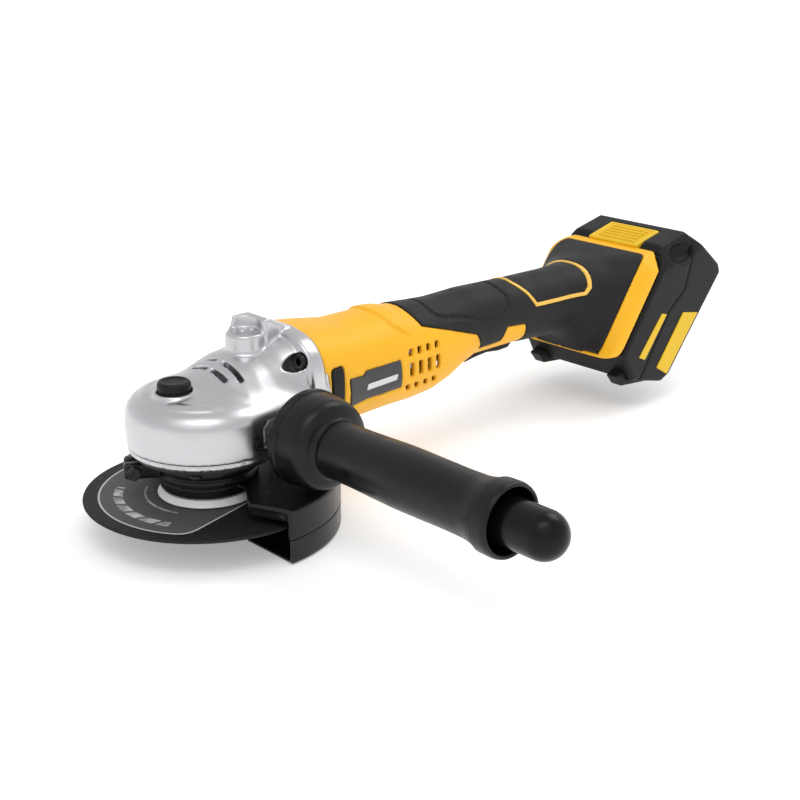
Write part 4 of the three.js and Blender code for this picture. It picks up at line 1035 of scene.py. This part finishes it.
def pack_front_field(x, y, z):
    d = smooth_max(pack_field(x, y, z), polygon(x, z, IN_FRONT_OF_SEAM), 0.7)
    d = pack_cuts(d, x, y, z)
    back_of, up = slide_frame(x, z)
    slot = np.minimum(rounded_box(back_of - 3.7, y, up + 18, (3.8, 15.5, 42), 0.6),
                      rounded_box(back_of - 8.5, y, up + 18, (2.0, 20.5, 42), 0.6))
    return smooth_max(d, -slot, 0.4)


def pack_rear_field(x, y, z):
    d = smooth_max(pack_field(x, y, z), GAP - polygon(x, z, IN_FRONT_OF_SEAM), 0.7)
    return pack_cuts(d, x, y, z)


def bar_field(outline, outer):
    """Field of a flat bar on the pack's sides, reaching out to the given half width."""
    def field(x, y, z):
        return smooth_max(polygon(x, z, outline), slab(abs(y), PACK_HALF - 0.6, outer), 0.5)
    return field


def button_field(x, y, z):
    along, above = button_frame(x, z)
    d = rounded_box(along, y, above, (10.8, 17.5, 2.0), 0.9)
    d = smooth_max(d, -rounded_box(along, y, above - 2.2, (8.8, 15.2, 0.9), 0.4), 0.3)
    for i in range(5):
        rib = rounded_box(along + 6.4 - 3.2 * i, y, above - 1.6, (0.85, 13.2, 0.95), 0.6)
        d = smooth_min(d, rib, 0.3)
    return d


def skid_field(x, y, z):
    side = polygon(x, z, [(255, 13), (260, 7), (286, 4.6), (290, 7.6), (286, 11), (262, 16)])
    d = smooth_max(side, abs(abs(y) - 29) - 4.4, 1.6)
    return smooth_max(d, -pack_field(x, y, z) + 0.1, 0.3)


PACK_LOW = (252, -40, 2)
PACK_HIGH = (343, 40, 90)
field_piece("pack_front_shell", pack_front_field, PACK_LOW, PACK_HIGH, 1.0,
            "battery", "black_plastic", ["pack_front"])
field_piece("pack_rear_shell", pack_rear_field, PACK_LOW, PACK_HIGH, 1.0,
            "battery", "black_plastic", ["pack_rear"])
for side_name, y0, y1 in (("left", -41, -36), ("right", 36, 41)):
    field_piece(f"wide_bar_{side_name}", bar_field(WIDE_BAR, PACK_HALF + 0.7),
                (282, y0, 5), (322, y1, 45), 0.5, "battery", "button_yellow", [f"pack_bar_{side_name}"])
    field_piece(f"narrow_bar_{side_name}", bar_field(NARROW_BAR, PACK_HALF + 0.5),
                (262, y0, 18), (294, y1, 48), 0.5, "battery", "button_yellow")
    skid_low, skid_high = (y0, -20) if y0 < 0 else (20, y1)
    field_piece(f"skid_pad_{side_name}", skid_field, (253, skid_low, 3), (292, skid_high, 18), 0.7,
                "battery", "black_rubber", [f"skid_{side_name}"])
field_piece("release_button", button_field, (284, -19, 76), (311, 19, 90), 0.5,
            "battery_release", "button_yellow", ["pack_button"])

# ---------------------------------------------------------------- camera, floor and light

CAMERA_TURN, CAMERA_TILT = math.radians(-42.7), math.radians(19.5)
CAMERA_AT = Vector((-350.527, -510.292, 269.528)) * MM

camera = bpy.data.objects.new("camera", bpy.data.cameras.new("camera"))
scene.collection.objects.link(camera)
camera.data.sensor_width = 36.0
camera.data.lens = 64.575
camera.data.clip_start = 0.01
back = Vector((math.sin(CAMERA_TURN) * math.cos(CAMERA_TILT),
               -math.cos(CAMERA_TURN) * math.cos(CAMERA_TILT), math.sin(CAMERA_TILT)))
right = Vector((math.cos(CAMERA_TURN), math.sin(CAMERA_TURN), 0))
pose = Matrix((right, back.cross(right), back)).transposed().to_4x4()
pose.translation = CAMERA_AT
camera.matrix_world = pose
scene.camera = camera

floor_mesh = bpy.data.meshes.new("floor")
floor_half = 14.0
floor_level = (GUARD_BOTTOM - 0.1) * MM
floor_corners = [(side_x * floor_half, side_y * floor_half, floor_level)
                 for side_x, side_y in ((-1, -1), (1, -1), (1, 1), (-1, 1))]
floor_mesh.from_pydata(floor_corners, [], [(0, 1, 2, 3)])
floor = bpy.data.objects.new("floor", floor_mesh)
scene.collection.objects.link(floor)
paper = material("floor_paper", (0.9, 0.9, 0.9), 0.9, grain=0.0, mottle=0.004, mottle_size=400,
                 rough_spread=0.02, shine=0.1)
paper_shader = paper.node_tree.nodes["Principled BSDF"]
paper_shader.inputs["Emission Color"].default_value = (1, 1, 1, 1)
paper_shader.inputs["Emission Strength"].default_value = 0.28
floor_mesh.materials.append(paper)


def area_light(name, at, aim, size, power):
    data = bpy.data.lights.new(name, "AREA")
    data.shape = "RECTANGLE"
    data.size, data.size_y = size
    data.energy = power
    lamp = bpy.data.objects.new(name, data)
    lamp.location = at
    lamp.rotation_euler = (Vector(aim) - Vector(at)).to_track_quat("-Z", "Y").to_euler()
    scene.collection.objects.link(lamp)


sun_data = bpy.data.lights.new("soft_sun", "SUN")
sun_data.energy = 0.35
sun_data.angle = math.radians(60)
sun = bpy.data.objects.new("soft_sun", sun_data)
sun.rotation_euler = (math.radians(20), math.radians(-26), 0)
scene.collection.objects.link(sun)
area_light("rear_panel", (0.70, -0.14, 0.84), (0.02, 0, 0.05), (0.55, 0.55), 2.5)
area_light("top_panel", (-0.33, -0.36, 1.02), (0.0, 0, 0.04), (0.60, 0.32), 1.5)

world = bpy.data.worlds.new("studio")
scene.world = world
world.use_nodes = True
sky = world.node_tree.nodes
sky["Background"].inputs["Strength"].default_value = 1.0
up_axis = sky.new("ShaderNodeSeparateXYZ")
world.node_tree.links.new(sky.new("ShaderNodeTexCoord").outputs["Generated"], up_axis.inputs[0])
height = sky.new("ShaderNodeValToRGB")
ramp_stops = height.color_ramp.elements
ramp_stops[0].position = 0.1
ramp_stops[0].color = (0.95, 0.95, 0.96, 1)
ramp_stops[1].position = 0.95
ramp_stops[1].color = (0.74, 0.74, 0.74, 1)
middle_stop = ramp_stops.new(0.5)
middle_stop.color = (0.78, 0.78, 0.79, 1)
world.node_tree.links.new(up_axis.outputs[2], height.inputs[0])
world.node_tree.links.new(height.outputs[0], sky["Background"].inputs["Color"])
scene.view_settings.view_transform = "Standard"
